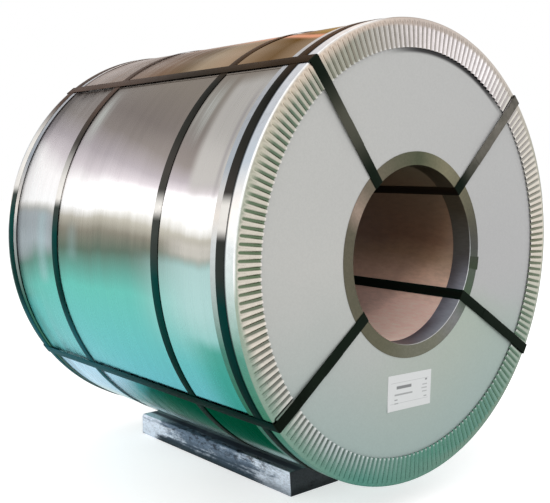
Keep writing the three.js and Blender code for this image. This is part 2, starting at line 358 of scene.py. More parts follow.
class Value:
    """Output of a node, reckoned with as a plain number is. Each step adds a node."""

    def __init__(self, graph: "NodeGraph", socket: Socket) -> None:
        """Keeps the output and the graph that it belongs to."""
        self.graph = graph
        self.socket = socket

    def __add__(self, other: object) -> "Value":
        """The two added."""
        return self.graph.math("ADD", self, other)

    def __sub__(self, other: object) -> "Value":
        """The other taken from this."""
        return self.graph.math("SUBTRACT", self, other)

    def __rsub__(self, other: float) -> "Value":
        """This taken from a number."""
        return self.graph.math("SUBTRACT", other, self)

    def __mul__(self, other: object) -> "Value":
        """The two multiplied."""
        return self.graph.math("MULTIPLY", self, other)

    def __truediv__(self, other: object) -> "Value":
        """This divided by the other."""
        return self.graph.math("DIVIDE", self, other)

    def __abs__(self) -> "Value":
        """Its distance from 0."""
        return self.graph.math("ABSOLUTE", self)

    def most(self, other: object) -> "Value":
        """The greater of the two."""
        return self.graph.math("MAXIMUM", self, other)

    def least(self, other: object) -> "Value":
        """The lesser of the two."""
        return self.graph.math("MINIMUM", self, other)

    def fraction(self) -> "Value":
        """What is left of it past a whole number."""
        return self.graph.math("FRACT", self)

    def slope(
        self, start: object, end: object, low: object = 0.0, high: object = 1.0, kind: str = "LINEAR"
    ) -> "Value":
        """Even change from low to high as this goes from start to end, and none beyond."""
        ends = {"Value": self, "From Min": start, "From Max": end, "To Min": low, "To Max": high}
        return self.graph.read("ShaderNodeMapRange", ends, interpolation_type=kind)

    def fade(self, start: object, end: object, low: float = 0.0, high: float = 1.0) -> "Value":
        """Smooth change from low to high as this goes from start to end."""
        return self.slope(start, end, low, high, "SMOOTHSTEP")

    def near(self, middle: float, reach: float) -> "Value":
        """1 where this is at the middle, down to 0 where it is off by reach."""
        return abs(self - middle).fade(reach, 0.0)

    def band(self, low: float, high: float, soft: float) -> "Value":
        """1 where this lies between low and high, 0 elsewhere, with edges that soft."""
        return self.fade(low - soft, low + soft) * self.fade(high + soft, high - soft)

    def swing(self, reach: float) -> "Value":
        """This noise as a swing by that reach to both sides."""
        return (self - 0.5) * (reach * 2.0)

    def between(self, low: float, high: float) -> "Value":
        """This noise as a value from low to high."""
        return self.fade(*NOISE_SPAN, low, high)

    def tint(self, share: object, colour: object) -> "Value":
        """This colour with a share of another laid over it."""
        return self.graph.read("Mix", {0: share, 6: self, 7: colour}, 2, data_type="RGBA")

    def scaled(self, factor: object) -> "Value":
        """This colour made lighter or darker by a factor."""
        return self.graph.read("VectorMath", {0: self, "Scale": factor}, operation="SCALE")


class NodeGraph:
    """A node tree that is built node by node."""

    def __init__(self, tree: bpy.types.NodeTree, prefix: str) -> None:
        """Starts a graph.

        Args:
            tree: The tree that its nodes go into.
            prefix: What the names of its own types of node start with.
        """
        self.tree = tree
        self.prefix = prefix

    def feed(self, target: Socket, value: object) -> None:
        """Puts a value into a node's input, or links it there.

        Args:
            target: The input.
            value: A value or node of the graph, a six-digit screen colour, or what the input holds.
        """
        if isinstance(value, str) and target.type in {"RGBA", "VECTOR"}:
            value = shade(value)
        if isinstance(value, bpy.types.Node):
            value = Value(self, value.outputs[0])
        if isinstance(value, Value):
            self.tree.links.new(value.socket, target)
        elif target.type == "VECTOR":
            target.default_value = value[:3]
        else:
            target.default_value = value

    def node(self, kind: str, links: Links | None = None, **settings: object) -> bpy.types.Node:
        """Adds a node.

        Args:
            kind: The node's type, without the prefix where that is the graph's own.
            links: What goes into its inputs, by name or index.
            settings: Properties of the node itself.

        Returns:
            The node.
        """
        full = kind if kind.startswith("ShaderNode") else self.prefix + kind
        made = self.tree.nodes.new(full)
        for key, value in settings.items():
            setattr(made, key, value)
        for key, value in (links or {}).items():
            self.feed(made.inputs[key], value)
        return made

    def read(
        self, kind: str, links: Links | None = None, output: str | int = 0, **settings: object
    ) -> Value:
        """Adds a node as node() does and returns its output of that name or index."""
        return Value(self, self.node(kind, links, **settings).outputs[output])

    def math(self, operation: str, a: object, b: object = 0.0) -> Value:
        """Result of a sum on two numbers or values."""
        return self.read("ShaderNodeMath", {0: a, 1: b}, operation=operation)

    def parts(self, vector: object) -> tuple[Value, ...]:
        """The X, Y and Z of a vector."""
        return tuple(Value(self, out) for out in self.node("ShaderNodeSeparateXYZ", {0: vector}).outputs)


class GeometryTree(NodeGraph):
    """A Geometry Nodes tree that is run on one mesh at a time."""

    def __init__(self, name: str) -> None:
        """Starts a tree with a geometry input and a geometry output.

        Args:
            name: The tree's name.
        """
        super().__init__(bpy.data.node_groups.new(name, "GeometryNodeTree"), "GeometryNode")
        self.identifiers: dict[str, str] = {}
        self.tree.interface.new_socket("Geometry", in_out="OUTPUT", socket_type="NodeSocketGeometry")
        self._inputs = self.tree.nodes.new("NodeGroupInput")
        self._outputs = self.tree.nodes.new("NodeGroupOutput")
        self.geometry = self.inlet("Geometry", "Geometry")

    def inlet(self, name: str, kind: str = "Float") -> Value:
        """Adds a named input and keeps its identifier.

        Args:
            name: Its name.
            kind: What it holds, such as Int or Vector.

        Returns:
            The input, as the tree's nodes read it.
        """
        socket = self.tree.interface.new_socket(name, in_out="INPUT", socket_type="NodeSocket" + kind)
        self.identifiers[name] = socket.identifier
        return Value(self, self._inputs.outputs[name])

    def finish(self, shape: bpy.types.Node) -> None:
        """Ends the tree: turned into place, instances made real, shading smooth, material set.

        Args:
            shape: Node whose first output is the finished shape.
        """
        turn, place = self.inlet("Turn", "Vector"), self.inlet("Place", "Vector")
        placed = self.node("Transform", {"Geometry": shape, "Rotation": turn, "Translation": place})
        real = self.node("RealizeInstances", {"Geometry": placed})
        smooth = self.node("SetShadeSmooth", {"Geometry": real})
        material = self.inlet("Material", "Material")
        dressed = self.node("SetMaterial", {"Geometry": smooth, "Material": material})
        self.feed(self._outputs.inputs[0], dressed)

    def run(
        self, name: str, line: Sequence[Point], closed: bool, values: dict[str, object], crease: float
    ) -> bpy.types.Object:
        """Runs the tree on a line and keeps the result as a plain mesh.

        Args:
            name: Name of the piece.
            line: Points of the line that goes into the tree.
            closed: Whether its last point joins its first.
            values: The tree's other inputs, by name.
            crease: Angle in degrees past which an edge is shaded sharp.

        Returns:
            The piece, at the origin and without modifiers.
        """
        source = polyline(name, line, closed)
        piece = linked(name, source)
        modifier = piece.modifiers.new("tree", "NODES")
        modifier.node_group = self.tree
        for key, value in values.items():
            modifier[self.identifiers[key]] = value
        evaluated = piece.evaluated_get(bpy.context.evaluated_depsgraph_get())
        mesh = bpy.data.meshes.new_from_object(evaluated)
        piece.modifiers.remove(modifier)
        piece.data = mesh
        mesh.name = name
        mesh.set_sharp_from_angle(angle=math.radians(crease))
        bpy.data.meshes.remove(source)
        return piece


class SweptStrip(GeometryTree):
    """Strip of flat steel that follows a path in the XY plane, and is then turned into place."""

    def __init__(self) -> None:
        """Builds the tree: Width, Thickness, Edge, Turn, Place and Material are its inputs."""
        super().__init__("swept_strip")
        width, thickness, edge = (self.inlet(name) for name in ("Width", "Thickness", "Edge"))
        path = self.node("MeshToCurve", {"Mesh": self.geometry})
        upright = self.node("SetCurveNormal", {"Curve": path}, mode="Z_UP")
        outline = self.node("CurvePrimitiveQuadrilateral", {"Width": thickness, "Height": width})
        eased = self.node("FilletCurve", {"Curve": outline, "Radius": edge, "Count": 2}, mode="POLY")
        sweep = {"Curve": upright, "Profile Curve": eased, "Fill Caps": True}
        self.finish(self.node("CurveToMesh", sweep))


class TurnedSheet(GeometryTree):
    """Ring turned about the coil's axis from a closed section, with flutes where it has any.

    The section's X is the distance outwards from a circle of Path Radius, and its Y is the
    level along the axis, counted downwards. The flutes stand out to Flute Share of their
    depth between Flute Start and Flute Rise, and deepen from there to Flute End. Their
    crests are broad and their valleys narrow.
    """

    WANDER_WAVES = 9.0
    VALLEY_SHARPNESS = 1.5
    FULL_TURN = 6.283
    FLAT = {"Flutes": 0.0, "Flute Depth": 0.0, "Flute Share": 0.0, "Unevenness": 0.0}
    FLAT |= {"Flute Start": 1.0, "Flute Rise": 2.0, "Flute End": 3.0}

    def __init__(self) -> None:
        """Builds the tree with its named inputs."""
        super().__init__("turned_sheet")
        radius = self.inlet("Path Radius")
        segments = self.inlet("Segments", "Int")
        arc_start, arc_sweep = self.inlet("Arc Start"), self.inlet("Arc Sweep")
        flute = ("Start", "Rise", "End", "Share")
        start, rise, end, risen = (self.inlet(f"Flute {name}") for name in flute)

        section = self.node("MeshToCurve", {"Mesh": self.geometry})
        whole = self.node("CurvePrimitiveCircle", {"Resolution": segments, "Radius": radius}, mode="RADIUS")
        stretch = {"Resolution": segments + 1.0, "Radius": radius}
        stretch |= {"Start Angle": arc_start, "Sweep Angle": arc_sweep}
        piece = self.node("CurveArc", stretch, mode="RADIUS")
        full = self.math("GREATER_THAN", arc_sweep, self.FULL_TURN)
        path = self.node("Switch", {"Switch": full, "False": piece, "True": whole}, input_type="GEOMETRY")
        upright = self.node("SetCurveNormal", {"Curve": path}, mode="Z_UP")
        swept = self.node("CurveToMesh", {"Curve": upright, "Profile Curve": section, "Fill Caps": True})

        x, y, _ = self.parts(self.node("InputPosition"))
        across = self.read("ShaderNodeCombineXYZ", {0: x, 1: y})
        reach = self.read("ShaderNodeVectorMath", {0: across}, "Value", operation="LENGTH")
        ramp = reach.fade(start, rise) * reach.slope(rise, end, risen)
        waves = {"Vector": across, "Scale": self.WANDER_WAVES, "Detail": 2.0}
        wander = self.read("ShaderNodeTexNoise", waves)
        drift = (wander - 0.5) * self.inlet("Unevenness")
        phase = self.math("ARCTAN2", x, y) * self.inlet("Flutes") + drift
        sunk = (1.0 - self.math("COSINE", phase)) * 0.5
        share = self.math("POWER", sunk, self.VALLEY_SHARPNESS) * ramp
        lift = self.node("ShaderNodeCombineXYZ", {2: (ramp * 0.5 - share) * self.inlet("Flute Depth")})
        kept = {"Geometry": swept, "Name": "valley", "Value": share}
        marked = self.node("StoreNamedAttribute", kept, data_type="FLOAT", domain="POINT")
        self.finish(self.node("SetPosition", {"Geometry": marked, "Offset": lift}))


# ---------------------------------------------------------------- finishes


@dataclass(frozen=True)
class Grain:
    """A noise that a finish is patterned with.

    Attributes:
        waves: Waves per metre along each axis.
        detail: How many finer noises lie on it.
        strength: How strong they are.
        shift: What moves it, so that no two patterns agree.
    """

    waves: Triple
    detail: float = 3.0
    strength: float = 0.5
    shift: float = 0.0


class FinishGraph(NodeGraph):
    """A material whose nodes are added one by one around a Principled shader."""

    def __init__(self, name: str, layout: CoilLayout) -> None:
        """Starts a material.

        Args:
            name: Its name.
            layout: The coil that its patterns are centred on.
        """
        self.material = bpy.data.materials.new(name)
        self.material.use_nodes = True
        super().__init__(self.material.node_tree, "ShaderNode")
        self.tree.nodes.clear()
        self.shader = self.node("BsdfPrincipled")
        self.node("OutputMaterial", {"Surface": self.shader})
        self.layout = layout

    def place(self, scale: Triple = (1.0, 1.0, 1.0)) -> Value:
        """Place on the object from the coil's middle.

        Args:
            scale: Factor that it is stretched by along each axis.

        Returns:
            The place, in metres where it isn't stretched.
        """
        links = {0: self.read("TexCoord", output="Object"), 1: self.layout.centre}
        centred = self.read("VectorMath", links, operation="SUBTRACT")
        return self.read("VectorMath", {0: centred, 1: scale}, operation="MULTIPLY")

    def axes(self) -> tuple[Value, ...]:
        """Across, along and above the coil's axis, in metres."""
        return self.parts(self.place())

    def around(self, sway: Value) -> Value:
        """Turn around the axis from 0 to 1, from +X towards +Z.

        Args:
            sway: What shifts it, as a share of a turn.

        Returns:
            The turn.
        """
        across, _, above = self.axes()
        turn = self.math("ARCTAN2", above, across) / (2 * math.pi)
        return ((turn + 1.0).fraction() + sway).fraction()

    def steepness(self) -> Value:
        """Height on the coil as an angle in degrees, -90 at its foot and 90 at its crown."""
        across, _, above = self.axes()
        return self.math("DEGREES", self.math("ARCTAN2", above, abs(across)))

    def reach(self) -> Value:
        """Distance from the axis, in metres."""
        return self.read("VectorMath", {0: self.place(FLATTEN)}, "Value", operation="LENGTH")

    def facing(self, degrees: float, start: float, end: float, low: float = 0.0, high: float = 1.0) -> Value:
        """Change towards a direction around the axis.

        Args:
            degrees: The direction, from +X towards +Z.
            start: Cosine of the angle off it at which the change starts.
            end: Cosine at which it ends.
            low: The value before the change.
            high: The value after it.

        Returns:
            The value.
        """
        outwards = self.read("VectorMath", {0: self.place(FLATTEN)}, operation="NORMALIZE")
        aim = (math.cos(math.radians(degrees)), 0.0, math.sin(math.radians(degrees)))
        cosine = self.read("VectorMath", {0: outwards, 1: aim}, "Value", operation="DOT_PRODUCT")
        return cosine.fade(start, end, low, high)

    def noise(self, grain: Grain) -> Value:
        """Noise from 0 to 1.

        Args:
            grain: What it is like.

        Returns:
            The noise.
        """
        links = {0: self.place(grain.waves), 1: (grain.shift,) * 3}
        moved = self.read("VectorMath", links, operation="ADD")
        links = {"Vector": moved, "Scale": 1.0, "Detail": grain.detail, "Roughness": grain.strength}
        return self.read("TexNoise", links, "Fac")

    def mix(self, share: object, a: object, b: object) -> Value:
        """Colour between two colours."""
        return self.read("Mix", {0: share, 6: a, 7: b}, 2, data_type="RGBA")

    def ramp(self, value: object, stops: Stops, full: float = 1.0) -> Value:
        """Colour that changes with a value from 0 to 1.

        Args:
            value: The value.
            stops: Places of the colours and the colours, in order.
            full: What the places are counted in, such as 360 for degrees.

        Returns:
            The colour.
        """
        made = self.node("ValToRGB", {0: value})
        elements = made.color_ramp.elements
        while len(elements) < len(stops):
            elements.new(0.5)
        for element, (at, code) in zip(elements, stops):
            element.position = at / full
            element.color = shade(code)
        return Value(self, made.outputs[0])

    def height_ramp(self, level: Value, stops: Stops) -> Value:
        """Colour that changes with the height on the coil, its stops counted up from the foot."""
        return self.ramp(level.slope(-90.0, 90.0), stops, 180.0)

    def round_ramp(self, turn: Value, stops: Stops) -> Value:
        """Colour that changes with the turn around the axis, its stops counted in degrees."""
        return self.ramp(turn, stops, 360.0)

    def off_rim(self, inwards: Span) -> Value:
        """Change outwards between two distances in from the outer edge rings' radius."""
        return self.reach().fade(*(self.layout.ring_radius - off for off in inwards))

    def bump(self, height: object, distance: float, strength: float) -> None:
        """Gives the surface a relief of that depth in metres."""
        relief = {"Height": height, "Distance": distance, "Strength": strength}
        self.dress(Normal=self.node("Bump", relief))

    def metal(self, tone: Value, roughness: object, dip: object = 0.25) -> bpy.types.Material:
        """Dresses the surface as bare metal that keeps its tone where it is seen at a slant.

        Args:
            tone: Colour of the metal.
            roughness: How matt it is.
            dip: How much of the tone is left at a slant; more is darker.

        Returns:
            The material.
        """
        slant = self.read("Gamma", {0: tone, 1: dip})
        return self.dress(Base_Color=tone, Metallic=1.0, Roughness=roughness, Specular_Tint=slant)

    def dress(self, **sockets: object) -> bpy.types.Material:
        """Sets inputs of the shader.

        Args:
            sockets: Their values, their names written with underscores.

        Returns:
            The material.
        """
        for name, value in sockets.items():
            self.feed(self.shader.inputs[name.replace("_", " ")], value)
        return self.material


@dataclass(frozen=True)
class StripFinish:
    """Bright cold-rolled strip, seen on its turns' edges."""

    colour: str = "9a9d9e"
    roughness: float = 0.35
    turns_per_metre: float = 900.0
    streaks: Grain = Grain((1.0, 60.0, 1.0))
    streak_tone: Span = (0.85, 1.1)
    relief: Span = (0.0001, 0.4)

    def build(self, layout: CoilLayout) -> bpy.types.Material:
        """Makes the material.

        Args:
            layout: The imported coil.

        Returns:
            The material.
        """
        graph = FinishGraph("wound_strip", layout)
        streaks = graph.noise(self.streaks)
        turns = graph.math("SINE", graph.reach() * (self.turns_per_metre * math.pi))
        graph.bump(turns, *self.relief)
        links = {0: self.colour, "Scale": streaks.between(*self.streak_tone)}
        return graph.metal(graph.read("VectorMath", links, operation="SCALE"), self.roughness)


@dataclass(frozen=True)
class Patch:
    """A painted reflection tone laid over part of the wrap's side.

    Attributes:
        along: Where it starts along the coil and where it is full. Of a stripe, where its
            middle is and how far it reaches.
        levels: Its lower and upper level, in degrees.
        colour: Its tone.
        weight: How much of it there is.
        stripe: Whether it runs around the coil as a stripe.
        rise: Levels between which it grows upwards, where it does.
    """

    along: Span
    levels: Span
    colour: str
    weight: float
    stripe: bool = False
    rise: Span | None = None


@dataclass(frozen=True)
class WrapFinish:
    """Bright sheet around the coil.

    Its tone is painted reflection that changes with the height on the coil: teal low
    down, a painted white highlight band on the side and warm brown above, in one run of
    tones between the upper and the lower eye straps. Above and below them it changes
    along the coil instead. Streaks around the coil break it up. Pale painted reflections
    lie before the girth straps, where the sheet is drawn in. Heights are in degrees, and
    places along the coil in metres. A stripe is its middle and its reach.
    """

    strap_places: tuple[float, ...]
    rim_end: float
    upper_straps: Span = (51.7, 44.3)
    lower_straps: Span = (-36.8, -32.0)
    strap_line: float = 0.4
    crest_line: float = 0.01
    broad: Grain = Grain((1.6, 3.4, 1.6), 2.0)
    streaks: Grain = Grain((0.9, 11.0, 0.9), 3.0, 0.5, 3.1)
    fine: Grain = Grain((1.0, 38.0, 1.0), 4.0, 0.6, 7.3)
    swings: Triple = (2.4, 1.1, 0.45)
    back_widening: Change = (12.0, 32.0, 0.0, 23.0)
    front_narrowing: Change = (12.0, 24.0, 0.0, 24.0)
    waist: Triple = (7.0, 6.0, 6.0)
    sag_start: float = 0.18
    sag: Change = (4.0, -6.0, 0.0, -14.0)
    # Painted reflection by height: teal low down, a white painted highlight band, grey and brown above.
    side: Stops = (
        (50, "6cb8c4"), (81, "64b4a8"), (91, "5c6c60"), (96, "848074"), (99, "b0aca0"),
        (102, "ffffff"), (107, "fffcfc"), (110, "d0c8cc"), (114, "aca4a8"), (121, "88807c"),
        (127, "7c7470"), (140, "847c74"),
    )
    # Painted reflection tones laid over parts of the side.
    patches: tuple[Patch, ...] = (
        Patch((-0.12, -0.46), (-40, 1.5), "a6c4c2", 0.9, rise=(-26, -8)),
        Patch((-0.27, -0.42), (2, 8), "c6c2ba", 0.8),
        Patch((-0.34, -0.5), (-40, -17), "2f8f7c", 0.75),
        Patch((0.25, 0.33), (-0.5, 9.5), "a4aeb4", 0.85),
        Patch((0.4, 0.52), (-36, -13), "5ed2ce", 0.5),
        Patch((0.37, 0.05), (-8, 8.5), "a8c8cc", 0.32, stripe=True),
        Patch((0.17, 0.05), (-2, 7), "a8c8cc", 0.18, stripe=True),
    )
    patch_softness: float = 2.0
    # Painted pale reflection on the side towards the front end.
    pale: str = "b2afab"
    pale_along: Change = (-0.37, -0.41)
    pale_heights: Triple = (17.0, 47.0, 3.0)
    pale_weight: float = 0.9
    # Painted shade on the sheet beside the front rim.
    front_rim_shade: str = "7e787c"
    front_rim_shade_stripe: Span = (-0.503, 0.014)
    front_rim_shade_heights: Triple = (17.0, 42.0, 6.0)
    front_rim_shade_weight: float = 0.45
    # Painted pale reflection streaks before the inner girth straps, where the sheet is drawn in.
    drawn_in_reflection: str = "b9bcb8"
    drawn_width: float = 0.06
    drawn_stripe: Span = (38.0, 13.0)
    drawn_streaks: Change = (0.38, 0.6, 0.3, 0.8)
    # Painted shadow of the back rim's edge on the sheet.
    back_rim_shadow: str = "201c2a"
    back_rim_shadow_width: float = 0.007
    back_rim_shadow_height: Change = (14.0, 9.0, 0.0, 0.7)
    # Painted reflection below the lower eye straps: dark green at the foot, pale teal higher up.
    foot: Stops = (
        (0, "1c4838"), (0.09, "184c42"), (0.15, "388488"), (0.27, "98c8dc"), (0.4, "b0dcf0"),
    )
    foot_slant: Span = (0.01, 0.87)
    foot_middle: float = 0.5
    # Painted shade: the tones darken towards the very foot.
    foot_dark: Change = (-62.0, -84.0, 0.0, 0.4)
    # Painted reflection on the foot towards the front end.
    foot_front: str = "5c8f7c"
    foot_front_along: Change = (-0.2, -0.36)
    foot_front_level: Change = (-56.0, -68.0)
    foot_front_weight: float = 0.8
    # Painted pale reflection on the underside towards both ends.
    underside: str = "b0d0d0"
    underside_height: Change = (-51.0, -57.0)
    underside_back: Change = (-0.1, 0.1, 0.18, 0.8)
    underside_front: Change = (-0.3, -0.5, 0.18, 0.7)
    # Painted warm reflection on the crown, changing along the coil.
    crown: Stops = (
        (0.06, "988068"), (0.18, "705840"), (0.38, "a48c74"), (0.48, "a08c74"), (0.57, "6c5844"),
        (0.68, "705440"), (0.96, "907c70"), (1.12, "b0a098"),
    )
    crown_length: float = 1.2
    crown_sway: float = 0.012
    # Painted glints along the crown.
    glint: str = "d09672"
    glints: Grain = Grain((15.0, 0.9, 15.0), 3.0, 0.6, 2.2)
    glint_lines: Change = (0.52, 0.66)
    glint_height: Change = (64.0, 80.0)
    glint_along: Change = (0.35, -0.2)
    # Painted reflection of a warm line of light along the crown, and a gold stretch past it.
    beam: str = "eaa888"
    beam_height: Change = (-0.56, -0.2, 65.0, 73.5)
    beam_width: float = 2.6
    beam_along: Change = (-0.02, -0.26)
    past_beam: str = "ac8c5c"
    past_beam_heights: Triple = (2.2, 9.0, 1.2)
    past_beam_along: Change = (-0.36, -0.46)
    relief: Span = (0.0005, 0.5)
    broad_relief: float = 4.0
    streak_tone: Span = (0.96, 1.03)
    roughness: Span = (0.2, 0.32)
    dip_height: Change = (60.0, 68.0, 0.25, 0.45)

    def level(self, steep: Value, along: Value) -> Value:
        """Height on the coil at which its middle has the same tone.

        The painted highlight band widens towards the back end and narrows towards the front one.

        Args:
            steep: Height of the place.
            along: Its place along the coil.

        Returns:
            The height, in degrees.
        """
        middle, reach, bulge = self.waist
        far = along.most(0.0) * steep.fade(*self.back_widening)
        waist = steep.near(middle, reach) * bulge + steep.fade(*self.front_narrowing)
        below = (along - self.sag_start).most(0.0) * steep.fade(*self.sag)
        return steep - (far + along.least(0.0) * waist + below)

    def side_tone(self, steep: Value, along: Value, sway: Value, level: Value, fine: Value) -> Value:
        """Painted reflection tone between the upper and the lower eye straps, with painted shade and shadow
        beside the rims.

        Args:
            steep: Height on the coil.
            along: Place along it.
            sway: How far streaks shift the tones.
            level: Height that the tones are read at.
            fine: The finest streaks.

        Returns:
            The colour.
        """
        side = steep.graph.height_ramp(level, self.side)
        # Painted reflection patches.
        for patch in self.patches:
            share = along.near(*patch.along) if patch.stripe else along.fade(*patch.along)
            if patch.rise:
                share = share * level.fade(*patch.rise)
            share = share * level.band(*patch.levels, self.patch_softness)
            side = side.tint(share * patch.weight, patch.colour)
        # Painted pale reflection towards the front end.
        pale = along.fade(*self.pale_along) * (steep + sway).band(*self.pale_heights)
        side = side.tint(pale * self.pale_weight, self.pale)
        # Painted shade beside the front rim.
        front_rim_shade = along.near(*self.front_rim_shade_stripe) * steep.band(*self.front_rim_shade_heights)
        side = side.tint(front_rim_shade * self.front_rim_shade_weight, self.front_rim_shade)
        # Painted pale reflection streaks before the inner girth straps.
        width = self.drawn_width
        before, behind = (along.near(place - width, width) for place in self.strap_places[1:-1])
        drawn = before.most(behind) * fine.fade(*self.drawn_streaks) * steep.near(*self.drawn_stripe)
        side = side.tint(drawn, self.drawn_in_reflection)
        # Painted shadow of the back rim's edge.
        back_rim_shadow = along.near(self.rim_end, self.back_rim_shadow_width) * steep.fade(*self.back_rim_shadow_height)
        return side.tint(back_rim_shadow, self.back_rim_shadow)

    def foot_tone(self, along: Value, swayed: Value, level: Value) -> Value:
        """Painted reflection tone below the lower eye straps, darker at the very foot as painted shade, with
        a pale painted reflection on the underside.

        Args:
            along: Place along the coil.
            swayed: Height on it, shifted by the streaks.
            level: Height that the side's tones are read at.

        Returns:
            The colour.
        """
        by_height, by_length = self.foot_slant
        place = swayed * by_height + along * by_length - swayed.fade(*self.foot_dark)
        foot = along.graph.ramp(place + self.foot_middle, self.foot)
        low = along.fade(*self.foot_front_along) * level.fade(*self.foot_front_level)
        foot = foot.tint(low * self.foot_front_weight, self.foot_front)
        # Painted pale reflection on the underside.
        ends = along.fade(*self.underside_back).most(along.fade(*self.underside_front))
        return foot.tint(ends * swayed.fade(*self.underside_height), self.underside)

    def crown_tone(self, steep: Value, along: Value, sway: Value) -> Value:
        """Painted reflection tone above the upper eye straps, with painted warm lines of light along the
        crown.

        Args:
            steep: Height on the coil.
            along: Place along it.
            sway: How far streaks shift the tones.

        Returns:
            The colour.
        """
        graph, half = steep.graph, self.crown_length / 2
        place = (along + sway * self.crown_sway).slope(-half, half)
        crown = graph.ramp(place, self.crown, self.crown_length)
        glint = graph.noise(self.glints).fade(*self.glint_lines) * steep.fade(*self.glint_height)
        crown = crown.tint(glint * along.fade(*self.glint_along), self.glint)
        off_beam = steep - along.fade(*self.beam_height)
        past = off_beam.band(*self.past_beam_heights) * along.fade(*self.past_beam_along)
        crown = crown.tint(past, self.past_beam)
        return crown.tint(off_beam.near(0.0, self.beam_width) * along.fade(*self.beam_along), self.beam)

    def build(self, layout: CoilLayout) -> bpy.types.Material:
        """Makes the material.

        Args:
            layout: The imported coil.

        Returns:
            The material.
        """
        graph = FinishGraph("bright_wrap_sheet", layout)
        across, along, _ = graph.axes()
        steep = graph.steepness()
        grains = [graph.noise(grain) for grain in (self.broad, self.streaks, self.fine)]
        first, second, third = (grain.swing(reach) for grain, reach in zip(grains, self.swings))
        sway = first + second + third
        broad, _, fine = grains
        level = self.level(steep, along) + sway
        side = self.side_tone(steep, along, sway, level, fine)
        foot = self.foot_tone(along, steep + sway, level)
        crown = self.crown_tone(steep, along, sway)

        # The painted tones change at the eye straps, which lie at other heights on the coil's two sides.
        lower, upper = (
            steep - across.fade(-self.crest_line, self.crest_line, *heights)
            for heights in (self.lower_straps, self.upper_straps)
        )
        tone = side.tint(lower.fade(self.strap_line, -self.strap_line), foot)
        tone = tone.tint(upper.fade(-self.strap_line, self.strap_line), crown)
        graph.bump(broad * self.broad_relief + fine, *self.relief)
        tone = tone.scaled(fine.between(*self.streak_tone))
        return graph.metal(tone, fine.between(*self.roughness), steep.fade(*self.dip_height))


